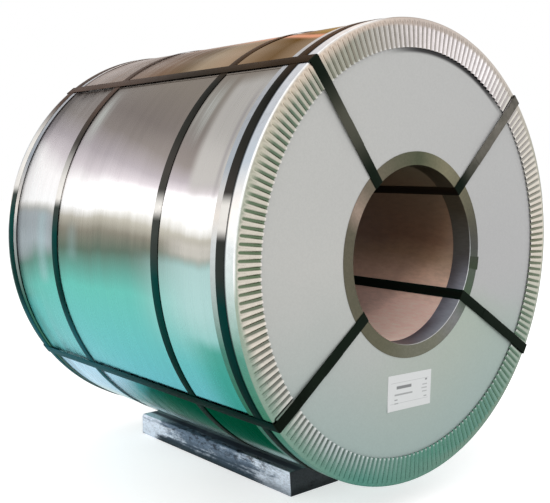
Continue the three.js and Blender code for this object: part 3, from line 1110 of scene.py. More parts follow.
@dataclass(frozen=True)
class EdgeRingFinish:
    """Bright sheet of the outer edge rings, its flutes' valleys painted darker than their crests as shade.

    Its tones are painted reflection: they change around the ring, and are given at a few
    turns in degrees, from the right-hand side over the crown. A field named towards holds a
    direction around the axis in degrees, and then the change towards it, by the cosine.
    Widths are in metres.
    """

    face_start: float
    strap_edge: float
    wander: Grain = Grain((3.0, 3.0, 3.0))
    grain: Grain = Grain((60.0, 60.0, 60.0), 4.0)
    sway: float = 5.0
    sway_turns: float = 1400.0
    # Painted reflection by height on the rim.
    rim: Stops = (
        (0, "4c685c"), (41, "548478"), (54, "488068"), (71, "589080"), (95, "e0e4e4"),
        (101, "f4ece4"), (114, "b0b8c0"), (144, "d4d4d8"), (158, "f8ece4"), (180, "ac9c88"),
    )
    # Painted shade of the front strap on the rim, and painted shadow inboard of the strap's middle.
    strap_shade: str = "1a2024"
    strap_shade_off: float = 0.002
    strap_shade_width: float = 0.006
    strap_shade_weight: float = 0.9
    strap_shadow: Span = (0.72, 1.0)
    strap_shadow_width: float = 0.016
    # Painted shade low on the back rim.
    back_along: Change = (0.0, 0.1)
    back_height: Change = (10.0, 2.0)
    back_tone: float = 0.6
    # Painted reflection around the ring: crests, valleys painted darker as shade, and the plain outer
    # stretch.
    crest: Stops = (
        (0, "c4bcb0"), (46, "c4c0b8"), (60, "f0ecec"), (88, "e0d8d8"), (116, "949488"),
        (196, "d0c8bc"), (235, "b0b8b8"), (270, "5c8478"), (306, "64887c"), (360, "c4bcb0"),
    )
    valley: Stops = (
        (0, "686c5c"), (58, "b8b0b0"), (118, "7c786c"), (140, "5c6c5c"), (180, "5c6c54"),
        (202, "787870"), (235, "586460"), (278, "508070"), (360, "686c5c"),
    )
    valley_depth: Change = (0.14, 0.6)
    plain: Stops = (
        (0, "8c9080"), (54, "b4aca4"), (90, "b0a49c"), (130, "c8b8a8"), (170, "9ca494"),
        (250, "508074"), (360, "8c9080"),
    )
    plain_towards_foot: Change = (272.0, 0.55, 0.95, 0.0, 0.14)
    plain_towards_crown: Change = (70.0, 0.5, 1.0, 0.0, 0.18)
    plain_wander: Span = (0.02, 0.06)
    softer_towards_foot: Change = (240.0, 0.6, 0.92, 0.12, 0.85)
    softer_towards_crown: Change = (140.0, 0.85, 0.98, 0.0, 0.4)
    # Painted highlight at the crests' inner ends.
    lip: str = "f4f4f4"
    lip_inwards: Change = (0.9, 1.0)
    lip_depth: Change = (0.3, 0.05, 0.0, 0.35)
    face_edge: float = 0.003
    # Painted highlight along the rounded corner, and painted shade on it at the lower right.
    corner: str = "ffffff"
    corner_off: float = 0.0005
    corner_width: float = 0.004
    corner_reach: Span = (0.006, 0.004)
    corner_towards: Change = (143.0, 0.72, 0.82)
    corner_shade_reach: Span = (0.007, 0.003)
    corner_shade_towards: Change = (340.0, 0.4, 0.9)
    corner_shade_tone: float = 0.62
    relief: Span = (0.0002, 0.4)
    grain_tone: Span = (0.94, 1.05)
    roughness: Span = (0.24, 0.36)

    def rim_tone(self, graph: FinishGraph, along: Value, sway: Value) -> Value:
        """Painted reflection tone of the rim, which lies around the coil, with painted shade beside the
        front strap and painted shade low on the back rim.

        Args:
            graph: The material.
            along: Place along the coil.
            sway: How far noise shifts the tones, in degrees.

        Returns:
            The colour.
        """
        level = graph.steepness() + sway
        edge = self.strap_edge
        # Painted shade of the front strap beside it, and painted shadow on both rims inboard of the strap's
        # middle.
        beside = along.near(-edge - self.strap_shade_off, self.strap_shade_width)
        rim = graph.height_ramp(level, self.rim)
        rim = rim.tint(beside * self.strap_shade_weight, self.strap_shade)
        rim = rim.scaled(abs(along).fade(edge - self.strap_shadow_width, edge, *self.strap_shadow))
        # Painted shade: the back rim is darker low down.
        low_back = along.fade(*self.back_along) * level.fade(*self.back_height)
        return rim.scaled(low_back.fade(0.0, 1.0, 1.0, self.back_tone))

    def face_tone(self, graph: FinishGraph, wander: Value, sway: Value) -> Value:
        """Painted reflection tone of the fluted face, its valleys painted darker as shade.

        Args:
            graph: The material.
            wander: Broad noise.
            sway: How far it shifts the tones, in degrees.

        Returns:
            The colour.
        """
        turn = graph.around(sway / self.sway_turns)
        # Painted reflection tones, the valleys darker as painted shade.
        tones = (self.crest, self.valley, self.plain)
        crest, valley, plain = (graph.round_ramp(turn, stops) for stops in tones)
        depth = graph.read("Attribute", output="Fac", attribute_name="valley")
        face = crest.tint(depth.fade(*self.valley_depth), valley)

        # A plain tone of painted reflection lies over the flutes' outer stretch, and runs far inwards at the
        # foot.
        inwards = (graph.layout.ring_radius - graph.reach()) / graph.layout.ring_width
        wide = graph.facing(*self.plain_towards_foot).most(graph.facing(*self.plain_towards_crown))
        wide = wide + wander.between(*self.plain_wander)
        soft = graph.facing(*self.softer_towards_foot) + graph.facing(*self.softer_towards_crown)
        face = face.tint(((inwards - wide) / soft).fade(1.0, 0.0), plain)
        # Painted highlight at the crests' inner ends.
        return face.tint(inwards.fade(*self.lip_inwards) * depth.fade(*self.lip_depth), self.lip)

    def build(self, layout: CoilLayout) -> bpy.types.Material:
        """Makes the material.

        Args:
            layout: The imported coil.

        Returns:
            The material.
        """
        graph = FinishGraph("bright_edge_sheet", layout)
        _, along, _ = graph.axes()
        wander, grain = graph.noise(self.wander), graph.noise(self.grain)
        sway = wander.swing(self.sway)
        rim = self.rim_tone(graph, along, sway)
        face = self.face_tone(graph, wander, sway)
        tone = rim.tint(abs(along).fade(self.face_start - self.face_edge, self.face_start), face)

        # The rounded corner gets a painted white highlight at the upper left and painted shade at the lower
        # right.
        bend = abs(along).near(self.face_start - self.corner_off, self.corner_width)
        bend = bend * graph.off_rim(self.corner_reach) * graph.facing(*self.corner_towards)
        corner_shade = graph.off_rim(self.corner_shade_reach) * graph.facing(*self.corner_shade_towards)
        tone = tone.tint(bend, self.corner).scaled(corner_shade.fade(0.0, 1.0, 1.0, self.corner_shade_tone))
        graph.bump(grain, *self.relief)
        return graph.metal(tone.scaled(grain.between(*self.grain_tone)), grain.between(*self.roughness))


@dataclass(frozen=True)
class BoreRingFinish:
    """Satin sheet of the inner edge rings: olive grey outside, violet grey in the bore, in tones of painted
    reflection and shade, with painted light on the sleeve and a painted highlight on the corner towards the
    lower right.
    """

    sleeve_end: float
    face_level: float
    cloud: Grain = Grain((6.0, 6.0, 6.0))
    scratches: Grain = Grain((160.0, 30.0, 160.0), 3.0, 0.6)
    sway: float = 0.03
    # Painted reflection and shade tones around the ring.
    face: Stops = (
        (0, "40403c"), (62, "74705c"), (90, "4c5040"), (134, "686054"), (150, "8c7c70"),
        (162, "585448"), (288, "5c5c4c"), (316, "686868"), (332, "344830"), (360, "40403c"),
    )
    sleeve: Stops = (
        (0, "585854"), (30, "403c30"), (75, "242418"), (172, "444038"), (302, "6c646c"),
        (315, "848490"), (343, "605c60"), (360, "585854"),
    )
    sleeve_metal: float = 0.25
    # Painted light on the sleeve towards the lower right.
    pale: str = "a4a8b4"
    pale_towards: Change = (312.0, 0.7, 0.98)
    face_edge: Span = (0.003, 0.001)
    # Painted highlight on the rounded corner towards the lower right.
    corner: str = "d9dcde"
    corner_off: float = 0.0012
    corner_width: float = 0.0014
    corner_towards: Change = (310.0, 0.3, 0.9)
    relief: Span = (0.0002, 0.35)
    scratch_tone: Span = (0.92, 1.08)
    roughness: Span = (0.3, 0.42)

    def build(self, layout: CoilLayout) -> bpy.types.Material:
        """Makes the material.

        Args:
            layout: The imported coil.

        Returns:
            The material.
        """
        graph = FinishGraph("satin_bore_edge", layout)
        level = self.face_level
        side = abs(graph.axes()[1])
        cloud, scratches = graph.noise(self.cloud), graph.noise(self.scratches)
        turn = graph.around(cloud.swing(self.sway) + 1.0)
        face, sleeve = graph.round_ramp(turn, self.face), graph.round_ramp(turn, self.sleeve)
        # Painted light on the sleeve.
        pale = side.fade(self.sleeve_end, level) * graph.facing(*self.pale_towards)
        on_face = side.fade(*(level - off for off in self.face_edge))
        # Painted highlight along the rounded corner towards the lower right.
        worn = side.near(level - self.corner_off, self.corner_width) * graph.facing(*self.corner_towards)
        tone = sleeve.tint(pale, self.pale).tint(on_face, face).tint(worn, self.corner)
        graph.bump(scratches, *self.relief)
        graph.metal(tone.scaled(scratches.between(*self.scratch_tone)), cloud.between(*self.roughness))
        return graph.dress(Metallic=on_face.fade(0.0, 1.0, self.sleeve_metal, 1.0))


@dataclass(frozen=True)
class DiscFinish:
    """Matt grey side disc, with a faint painted green reflection where it is low, and painted shadow in the
    gap behind the ring.
    """

    cloud: Grain = Grain((2.4, 2.4, 2.4))
    grain: Grain = Grain((220.0, 220.0, 220.0))
    # Faint painted reflection tints around the disc.
    around: Stops = (
        (0, "b8b8b8"), (180, "c4c4c0"), (225, "b8bcb8"), (315, "acb8ac"), (334, "b8b8b8"),
        (360, "b8b8b8"),
    )
    sway: float = 0.08
    # Painted green reflection low on the disc.
    low: str = "a2b4b0"
    low_towards: Change = (272.0, 0.1, 0.95)
    low_reach: Change = (0.28, 0.6)
    # Painted shadow in the gap inside the ring's inner edge.
    gap: str = "1a1819"
    gap_towards: Change = (74.0, 0.86, 0.97)
    gap_reach: Span = (-0.017, -0.007)
    cloud_relief: float = 6.0
    grain_relief: float = 0.2
    relief: Span = (0.0008, 0.35)
    grain_tone: Span = (0.97, 1.02)
    roughness: float = 0.55
    gloss: float = 0.4

    def build(self, layout: CoilLayout) -> bpy.types.Material:
        """Makes the material.

        Args:
            layout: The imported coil.

        Returns:
            The material.
        """
        graph = FinishGraph("matt_disc_sheet", layout)
        cloud, grain, reach = graph.noise(self.cloud), graph.noise(self.grain), graph.reach()
        # Painted reflection tints, a painted green reflection low down, and painted shadow in the gap.
        tone = graph.round_ramp(graph.around(cloud.swing(self.sway) + 1.0), self.around)
        tone = tone.tint(graph.facing(*self.low_towards) * reach.fade(*self.low_reach), self.low)
        gap = reach.fade(*(layout.ring_start + off for off in self.gap_reach))
        tone = tone.tint(gap * graph.facing(*self.gap_towards), self.gap)
        graph.bump(cloud * self.cloud_relief + grain * self.grain_relief, *self.relief)
        tone = tone.scaled(grain.between(*self.grain_tone))
        return graph.dress(
            Base_Color=tone, Metallic=0.0, Roughness=self.roughness, Specular_IOR_Level=self.gloss
        )


@dataclass(frozen=True)
class LinerFinish:
    """Smooth brown fibre board that lines the bore. Its tones are painted light and shade, pale low down and
    dark above, by degrees up from its foot.
    """

    cloud: Grain = Grain((3.0, 5.0, 3.0), 4.0)
    fibre: Grain = Grain((90.0, 30.0, 90.0), 4.0, 0.65)
    board: Stops = (
        # Painted light and shade by height: pale at the foot, dark at the top.
        (0, "f0d0c4"), (45, "ecc8bc"), (64, "d8b4a0"), (82, "947860"), (94, "745844"),
        (180, "545440"),
    )
    sway: float = 9.0
    lean: float = 0.0024
    inside: Change = (0.4, 0.56, 0.8, 1.5)
    # Painted light towards both ends.
    end: str = "b0a598"
    end_inside: Change = (0.47, 0.56, 0.0, 0.25)
    relief: Span = (0.0003, 0.4)
    fibre_tone: Span = (0.9, 1.08)
    roughness: Span = (0.34, 0.5)

    def build(self, layout: CoilLayout) -> bpy.types.Material:
        """Makes the material.

        Args:
            layout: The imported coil.

        Returns:
            The material.
        """
        graph = FinishGraph("fibre_board_liner", layout)
        cloud, fibre = graph.noise(self.cloud), graph.noise(self.fibre)
        level = graph.steepness() + cloud.swing(self.sway)

        # Painted light: the board is paler towards both ends, and further in where it is low.
        inside = abs(graph.axes()[1]) - level * self.lean
        tone = graph.height_ramp(level, self.board).scaled(inside.fade(*self.inside))
        tone = tone.tint(inside.fade(*self.end_inside), self.end).scaled(fibre.between(*self.fibre_tone))
        graph.bump(fibre, *self.relief)
        return graph.dress(Base_Color=tone, Roughness=cloud.between(*self.roughness))


@dataclass(frozen=True)
class StrapFinish:
    """Blued and waxed steel strapping.

    Its tones are painted reflection that changes with the height on the coil. Each girth
    strap carries a pale painted highlight over a stretch of its own, between two heights
    on the coil in degrees, where it crosses the bright band; a third figure is how softly
    the upper one ends.
    """

    girths: tuple[float, ...]
    cloud: Grain = Grain((7.0, 7.0, 7.0))
    grain: Grain = Grain((130.0, 130.0, 130.0), 4.0, 0.6)
    lean: float = 13.0
    # Painted reflection by height around the coil.
    around_coil: Stops = (
        (40, "04180c"), (52, "002018"), (90, "0c4440"), (96, "3c4440"), (115, "4c4844"),
        (124, "343430"), (140, "282824"), (168, "644428"),
    )
    # Painted shade towards the front; painted teal and warm reflections towards the back.
    front_along: Change = (-0.4, -0.5, 1.0, 0.75)
    far_along: Change = (-0.25, 0.4)
    far_low: str = "1e6068"
    far_low_height: Change = (-12.0, -28.0)
    far_high: str = "5a4a42"
    far_high_height: Change = (28.0, 44.0)
    # Painted highlights where the girth straps cross the bright band.
    shines: tuple[Triple, ...] = (
        (7.8, 15.3, 1.6), (11.0, 14.9, 2.2), (12.2, 23.5, 7.0), (15.2, 37.0, 9.0),
    )
    shine: str = "fcf8f2"
    shine_start: float = 1.6
    strap_reach: float = 0.03
    strap_softness: float = 0.005
    face_edge: float = 0.001
    on_face: str = "182019"
    # Painted olive sheen on the upper straps.
    olive: str = "54544a"
    olive_reach: Span = (0.45, 0.16)
    olive_above: Change = (0.1, 0.25)
    # Painted pale sheen on the strap at the upper right.
    upper_right_sheen: str = "76726a"
    blotches: Grain = Grain((34.0, 34.0, 34.0), 3.0, 0.6, 5.2)
    blotch_weight: Change = (0.36, 0.6, 0.62, 1.0)
    upper_right_sheen_reach: Change = (0.27, 0.45)
    corner: Span = (0.05, 0.15)
    # Painted shade on the strap at the lower left.
    dark_reach: Change = (0.46, 0.58)
    dark_tone: float = 0.6
    # Painted shade on the straps inside the bore.
    in_bore: str = "130e09"
    bore_share: Span = (0.87, 0.86)
    rubbed_grain: Change = (0.56, 0.76)
    rubbed_cloud: Change = (0.42, 0.7)
    rubbed_weight: float = 0.7
    cloud_tone: Span = (0.88, 1.08)
    relief: Span = (0.0001, 0.5)
    roughness: Span = (0.34, 0.46)
    gloss: float = 0.005

    def girth_tone(self, graph: FinishGraph, along: Value) -> Value:
        """Painted reflection tone of the straps around the coil, with their painted highlights.

        Args:
            graph: The material.
            along: Place along the coil.

        Returns:
            The colour.
        """
        steep = graph.steepness()
        tone = graph.height_ramp(steep + along * -self.lean, self.around_coil)
        tone = tone.scaled(along.fade(*self.front_along))
        far = along.fade(*self.far_along)
        tone = tone.tint(far * steep.fade(*self.far_low_height), self.far_low)
        tone = tone.tint(far * steep.fade(*self.far_high_height), self.far_high)
        shine: object = 0.0
        for place, (low, high, soft) in zip(self.girths, self.shines):
            on_strap = along.band(place - self.strap_reach, place + self.strap_reach, self.strap_softness)
            rise = steep.fade(low - self.shine_start, low + self.shine_start)
            shine = graph.math("MAXIMUM", shine, on_strap * (rise * steep.fade(high + soft, high - soft)))
        return tone.tint(shine, self.shine)

    def face_tone(self, graph: FinishGraph, reach: Value) -> Value:
        """Tone of the straps over the coil's end: a painted olive sheen over the bore, a painted pale sheen
        at the upper right and painted shade at the lower left.

        Args:
            graph: The material.
            reach: Distance from the coil's axis.

        Returns:
            The colour.
        """
        across, _, above = graph.axes()
        # Painted olive sheen, painted pale sheen at the upper right, and painted shade at the lower left.
        olive = reach.near(*self.olive_reach) * above.fade(*self.olive_above)
        right = across.fade(*self.corner) * above.fade(*self.corner)
        left = (across * -1.0).fade(*self.corner) * (above * -1.0).fade(*self.corner)
        blotches = graph.noise(self.blotches).fade(*self.blotch_weight)
        face = graph.mix(olive, self.on_face, self.olive)
        face = face.tint(right * blotches * reach.fade(*self.upper_right_sheen_reach), self.upper_right_sheen)
        return face.scaled((left * reach.fade(*self.dark_reach)).fade(0.0, 1.0, 1.0, self.dark_tone))

    def build(self, layout: CoilLayout) -> bpy.types.Material:
        """Makes the material.

        Args:
            layout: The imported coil.

        Returns:
            The material.
        """
        graph = FinishGraph("blued_strapping", layout)
        along, reach = graph.axes()[1], graph.reach()
        level = layout.bore_ring_face
        flat = abs(along).fade(level - self.face_edge, level)
        inside = reach.fade(*(layout.bore_ring_radius * share for share in self.bore_share))
        tone = self.girth_tone(graph, along).tint(flat, self.face_tone(graph, reach))
        # Painted shade inside the bore.
        tone = tone.tint(inside, self.in_bore)
        cloud, grain = graph.noise(self.cloud), graph.noise(self.grain)
        rubbed = grain.fade(*self.rubbed_grain) * cloud.fade(*self.rubbed_cloud) * self.rubbed_weight
        tone = tone.scaled(rubbed + cloud.between(*self.cloud_tone))
        graph.bump(grain, *self.relief)
        roughness = grain.between(*self.roughness)
        return graph.dress(Base_Color=tone, Metallic=0.0, Roughness=roughness, Specular_IOR_Level=self.gloss)


@dataclass(frozen=True)
class Bar:
    """A grey bar on the ticket, its place and size as shares of the ticket's."""

    middle: float
    half_height: float
    start: float
    end: float
    darkness: float


@dataclass(frozen=True)
class LabelFinish:
    """White ticket with ruled lines and blank bars, and no words. It reads its own UV map."""

    paper: str = "dfe1e1"
    ink: str = "55585a"
    fibre: Grain = Grain((400.0, 400.0, 400.0))
    rules: Span = (0.78, 0.2)
    rule_width: float = 0.012
    rule_darkness: float = 0.35
    side_margin: Change = (0.44, 0.435)
    top_margin: Change = (0.42, 0.41)
    bars: tuple[Bar, ...] = (
        Bar(0.64, 0.05, 0.2, 0.53, 0.8),
        Bar(0.44, 0.028, 0.16, 0.56, 0.55),
        Bar(0.3, 0.02, 0.16, 0.22, 0.6),
        Bar(0.2, 0.02, 0.16, 0.24, 0.5),
        Bar(0.74, 0.03, 0.86, 0.9, 0.7),
        Bar(0.6, 0.02, 0.8, 0.9, 0.4),
        Bar(0.5, 0.02, 0.78, 0.9, 0.4),
        Bar(0.4, 0.02, 0.8, 0.9, 0.4),
        Bar(0.26, 0.02, 0.84, 0.9, 0.5),
    )
    bar_softness: float = 0.01
    bar_core: float = 0.7
    relief: Span = (0.0001, 0.3)
    roughness: float = 0.55

    def build(self, layout: CoilLayout) -> bpy.types.Material:
        """Makes the material.

        Args:
            layout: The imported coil.

        Returns:
            The material.
        """
        graph = FinishGraph("ruled_ticket_paper", layout)
        across, up, _ = graph.parts(graph.node("UVMap", uv_map="ticket"))
        bars: object = 0.0
        for bar in self.bars:
            inked = across.fade(bar.start - self.bar_softness, bar.start)
            inked = inked * across.fade(bar.end + self.bar_softness, bar.end)
            inked = inked * abs(up - bar.middle).fade(bar.half_height, bar.half_height * self.bar_core)
            bars = graph.math("MAXIMUM", bars, inked * bar.darkness)
        first, second = (up.near(place, self.rule_width) for place in self.rules)
        inside = abs(across - 0.5).fade(*self.side_margin) * abs(up - 0.5).fade(*self.top_margin)
        lines = (first.most(second) * (inside * self.rule_darkness)).most(bars)
        graph.bump(graph.noise(self.fibre), *self.relief)
        return graph.dress(Base_Color=graph.mix(lines, self.paper, self.ink), Roughness=self.roughness)


@dataclass(frozen=True)
class BearerFinish:
    """Dark scale on a steel bearer, scuffed pale along its sides and streaked with soot.

    Its top is painted dark as shade under the coil and pale as light next to it, its outer
    edge keeps the side's tone as a painted highlight, and its front end faces are painted
    dark as shade. A field named inwards is in metres in from one of its ends, or from its
    outer edge.
    """

    height: float
    outer: float
    front: float
    back: float
    patches: Grain = Grain((18.0, 8.0, 26.0), 9.0, 0.74, 1.7)
    streaks: Grain = Grain((30.0, 2.2, 70.0), 5.0, 0.65, 4.1)
    speckle: Grain = Grain((190.0, 90.0, 190.0), 5.0, 0.75)
    spots: Grain = Grain((70.0, 24.0, 60.0), 7.0, 0.75, 8.8)
    scale: Stops = (
        (0, "2e3c42"), (0.2, "384854"), (0.42, "5a6a7a"), (0.62, "748698"), (1, "708294"),
    )
    scale_sway: float = 0.35
    scuff: str = "dce6f2"
    scuff_swings: Span = (2.2, 1.1)
    scuff_full: float = 0.95
    back_inwards: Span = (0.14, 0.07)
    back_weight: float = 0.8
    back_fringe: Change = (0.32, 0.16, 0.0, 0.3)
    front_inwards: Span = (0.22, 0.08)
    front_weight: float = 0.75
    front_fringe: Change = (0.45, 0.2, 0.0, 0.35)
    front_spared: float = 0.45
    low: Change = (0.48, 0.12)
    soot: str = "282a32"
    soot_spots: Change = (0.5, 0.58)
    soot_height: Change = (0.35, 0.85)
    soot_inwards: Span = (0.1, 0.16)
    soot_softness: float = 0.08
    soot_weight: float = 0.8
    speckle_tone: Change = (0.35, 0.6, 0.74, 1.04)
    # Painted shade on the top, painted light on its inner strip, and painted shade on the front end faces.
    top: str = "3a424e"
    top_normal: Change = (0.3, 0.8)
    bed: str = "8a9a9e"
    bed_inwards: Change = (0.046, 0.06)
    end: str = "0e1412"
    end_normal: Change = (0.5, 0.9)
    flat_weight: float = 0.95
    # A painted highlight along the top's outer edge.
    lit_edge_inwards: Change = (0.026, 0.014)
    lit_edge_sway: float = 0.008
    lit_edge_along: Change = (-0.1, 0.4, 0.0, 0.01)
    relief: Span = (0.001, 0.35)
    metal: float = 0.85
    roughness: Span = (0.6, 0.42)
    gloss: float = 0.1

    def side_tone(
        self, graph: FinishGraph, along: Value, patches: Value, speckle: Value
    ) -> tuple[Value, Value]:
        """Tone of the bearer's sides, scuffed mostly near its two ends and darker downwards.

        Args:
            graph: The material.
            along: Place along the bearer.
            patches: Broad noise.
            speckle: Fine noise.

        Returns:
            The colour, and how far the scale is worn off.
        """
        height = (graph.axes()[2] + graph.layout.axis_height) / self.height
        streaks = graph.noise(self.streaks)
        from_back = along - self.back
        from_front = along - self.front
        back = from_back.fade(*(-off for off in self.back_inwards))
        front = from_front.fade(*self.front_inwards)
        start, end, *weights = self.back_fringe
        ends = back * self.back_weight + from_back.fade(-start, -end, *weights) + front * self.front_weight
        ends = ends + from_front.fade(*self.front_fringe)
        spared = 1.0 - back.most(front * self.front_spared)
        low = (height + patches.swing(self.scale_sway)).fade(*self.low) * spared
        by_patch, by_streak = self.scuff_swings
        worn = (patches.swing(by_patch) + streaks.swing(by_streak) + ends).fade(0.0, self.scuff_full)
        worn = worn * (1.0 - low)
        tone = graph.ramp(height + streaks.swing(self.scale_sway), self.scale).tint(worn, self.scuff)
        sooty = graph.noise(self.spots).fade(*self.soot_spots) * height.fade(*self.soot_height)
        from_end, to_end = self.soot_inwards
        sooty = sooty * along.band(self.front + from_end, self.back - to_end, self.soot_softness)
        tone = tone.tint(sooty * self.soot_weight, self.soot)
        return tone.scaled(speckle.fade(*self.speckle_tone)), worn

    def build(self, layout: CoilLayout) -> bpy.types.Material:
        """Makes the material.

        Args:
            layout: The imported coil.

        Returns:
            The material.
        """
        graph = FinishGraph("scuffed_scale", layout)
        across, along, _ = graph.axes()
        patches, speckle = graph.noise(self.patches), graph.noise(self.speckle)
        tone, worn = self.side_tone(graph, along, patches, speckle)
        _, backwards, upwards = graph.parts(graph.read("NewGeometry", output="True Normal"))

        # The top keeps the side's tone along its outer edge as a painted highlight, the strip
        # widening a little towards the back. Further in it is painted dark as shade under the coil,
        # and pale as light next to the coil. The front end faces are painted dark as shade.
        inwards = self.outer - abs(across) + patches.swing(self.lit_edge_sway)
        rubbed = (inwards - along.fade(*self.lit_edge_along)).fade(*self.lit_edge_inwards)
        up = upwards.fade(*self.top_normal) * (1.0 - rubbed)
        top = graph.mix(inwards.fade(*self.bed_inwards), self.top, self.bed)
        end = (backwards * -1.0).fade(*self.end_normal)
        tone = tone.tint(up * self.flat_weight, top).tint(end * self.flat_weight, self.end)
        graph.bump(speckle + patches, *self.relief)
        return graph.dress(
            Base_Color=tone,
            Metallic=up.fade(0.0, 1.0, self.metal, 0.0),
            Roughness=worn.fade(0.0, 1.0, *self.roughness),
            Specular_IOR_Level=self.gloss,
        )


# ---------------------------------------------------------------- sub-assemblies


@dataclass
class SubAssembly:
    """Pieces of the packing that are made together.

    Attributes:
        layout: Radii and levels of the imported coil.
        strips: Tree that sweeps strips along paths.
        rings: Tree that turns sections about the coil's axis.
    """

    layout: CoilLayout
    strips: SweptStrip
    rings: TurnedSheet

    def keep(self, piece: bpy.types.Object, slot: str, *nodes: str) -> None:
        """Ties a finished piece to the frame and reports it.

        Args:
            piece: The piece.
            slot: Name of the record's material slot; not used.
            nodes: CAD nodes that it stands for.
        """
        if nodes:
            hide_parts(*nodes)
        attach(piece, BODY)
        faces = len(piece.data.polygons)
        LOG.info("%s: %d faces, for %s", piece.name, faces, ", ".join(nodes) or "no node")

    def ring(
        self,
        name: str,
        section: Sequence[Point],
        material: bpy.types.Material,
        end: End = End.BACK,
        segments: int = 240,
        crease: float = CREASE,
        **extra: float,
    ) -> bpy.types.Object:
        """Turns a closed section about the coil's axis.

        Args:
            name: Name of the piece.
            section: Points of [radius, level], the metal on the line's right.
            material: Its finish.
            end: The end of the coil that it belongs to.
            segments: Stretches around the axis.
            crease: Angle past which an edge is shaded sharp.
            extra: Other inputs of the tree, their names written with underscores.

        Returns:
            The ring.
        """
        base = self.layout.coil_radius
        profile = [(radius - base, -level) for radius, level in section]
        values: dict[str, object] = {
            "Path Radius": base,
            "Segments": segments,
            "Arc Start": 0.0,
            "Arc Sweep": 2 * math.pi,
            "Turn": (-math.pi / 2, 0.0, math.pi * end.value),
            "Place": (0.0, 0.0, self.layout.axis_height),
            "Material": material,
            **self.rings.FLAT,
            **{key.replace("_", " "): value for key, value in extra.items()},
        }
        return self.rings.run(name, profile, True, values, crease)

    def strip(
        self,
        name: str,
        path: Sequence[Point],
        width: float,
        thickness: float,
        material: bpy.types.Material,
        turn: Triple = (math.pi / 2, 0.0, 0.0),
        along: float = 0.0,
    ) -> bpy.types.Object:
        """Sweeps a flat strip along a path.

        Args:
            name: Name of the piece.
            path: Points of the strip's middle line, in the plane that it bends in.
            width: Its width, across that plane.
            thickness: Its thickness.
            material: Its finish.
            turn: Turn of the plane about X, Y and Z.
            along: Place of the turned strip along the coil's axis.

        Returns:
            The strip.
        """
        values = {
            "Width": width,
            "Thickness": thickness,
            "Edge": thickness * EDGE_SHARE,
            "Turn": turn,
            "Place": (0.0, along, self.layout.axis_height),
            "Material": material,
        }
        return self.strips.run(name, path, False, values, CREASE)


@dataclass
class CoilBody(SubAssembly):
    """The wound strip itself, whose CAD solid stays."""

    finish: StripFinish = field(default_factory=StripFinish)

    def build(self) -> None:
        """Dresses the CAD node."""
        node = frame["nodes"]["coil_body"]
        node.data.materials.clear()
        node.data.materials.append(self.finish.build(self.layout))
        LOG.info("coil_body: CAD node with its own finish")


@dataclass
class OuterWrap(SubAssembly):
    """The sheet around the coil: once around, then up a joggle onto its own lower end."""

    seam_angle: float = 130.5
    lap: float = 102 * MM
    joggle: float = 100 * MM
    step: float = 0.75

    def path(self) -> list[Point]:
        """Middle line of the sheet, its angles counted from +X towards +Z.

        Returns:
            The points of the line.
        """
        lay = self.layout
        degrees = 180 / (math.pi * lay.coil_radius)
        start = self.seam_angle - self.lap * degrees
        angles = turns(start, self.seam_angle + 360, self.step)
        climb = (start + 360 - self.joggle * degrees, start + 360)
        return climbing(angles, lay.coil_radius + lay.play + lay.sheet / 2, lay.sheet + lay.play, climb)

    def build(self, strap_places: Iterable[float]) -> None:
        """Makes the sheet.

        Args:
            strap_places: Places of the girth straps along the axis.
        """
        rim_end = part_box("outer_edge_ring_back")[0].y
        finish = WrapFinish(tuple(strap_places), rim_end).build(self.layout)
        width = span(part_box("outer_wrap")).y
        piece = self.strip("wrap_sheet", self.path(), width, self.layout.sheet, finish)
        self.keep(piece, "wrap_sheet", "outer_wrap")


@dataclass
class BoreLiner(SubAssembly):
    """The board tube that lines the bore."""

    thickness: float = 1.6 * MM
    stretches: int = 8
    segments: int = 180

    @property
    def inside(self) -> float:
        """Radius of the tube's inside."""
        return self.layout.liner_radius - self.thickness

    def build(self) -> None:
        """Makes the tube."""
        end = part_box("bore_liner")[1].y
        out = self.layout.liner_radius
        skin = run((self.inside, -end), (self.inside, end), self.stretches)
        section = [*skin, (self.inside, end), (out, end), (out, -end)]
        finish = LinerFinish().build(self.layout)
        piece = self.ring("bore_lining_tube", section, finish, segments=self.segments)
        self.keep(piece, "liner_board", "bore_liner")


@dataclass
class EndDiscs(SubAssembly):
    """The matt discs over both ends of the coil."""

    thickness: float = 2 * MM
    edge: float = 0.4 * MM
    hole_play: float = 2.5 * MM
    stretches: int = 6

    def build(self) -> None:
        """Makes both discs."""
        finish = DiscFinish().build(self.layout)
        hole = self.layout.liner_radius + self.layout.play + self.hole_play
        top = self.layout.disc_face
        for end in End:
            node = f"end_disc_{end.label}"
            outside = span(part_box(node)).z / 2
            section = [
                (hole, top - self.thickness),
                (hole, top - self.edge),
                (hole + self.edge, top),
                *run((hole + 2 * self.edge, top), (outside - 2 * self.edge, top), self.stretches),
                (outside - self.edge, top),
                (outside, top - self.edge),
                (outside, top - self.thickness),
            ]
            self.keep(self.ring(f"side_disc_{end.label}", section, finish, end), "disc_sheet", node)


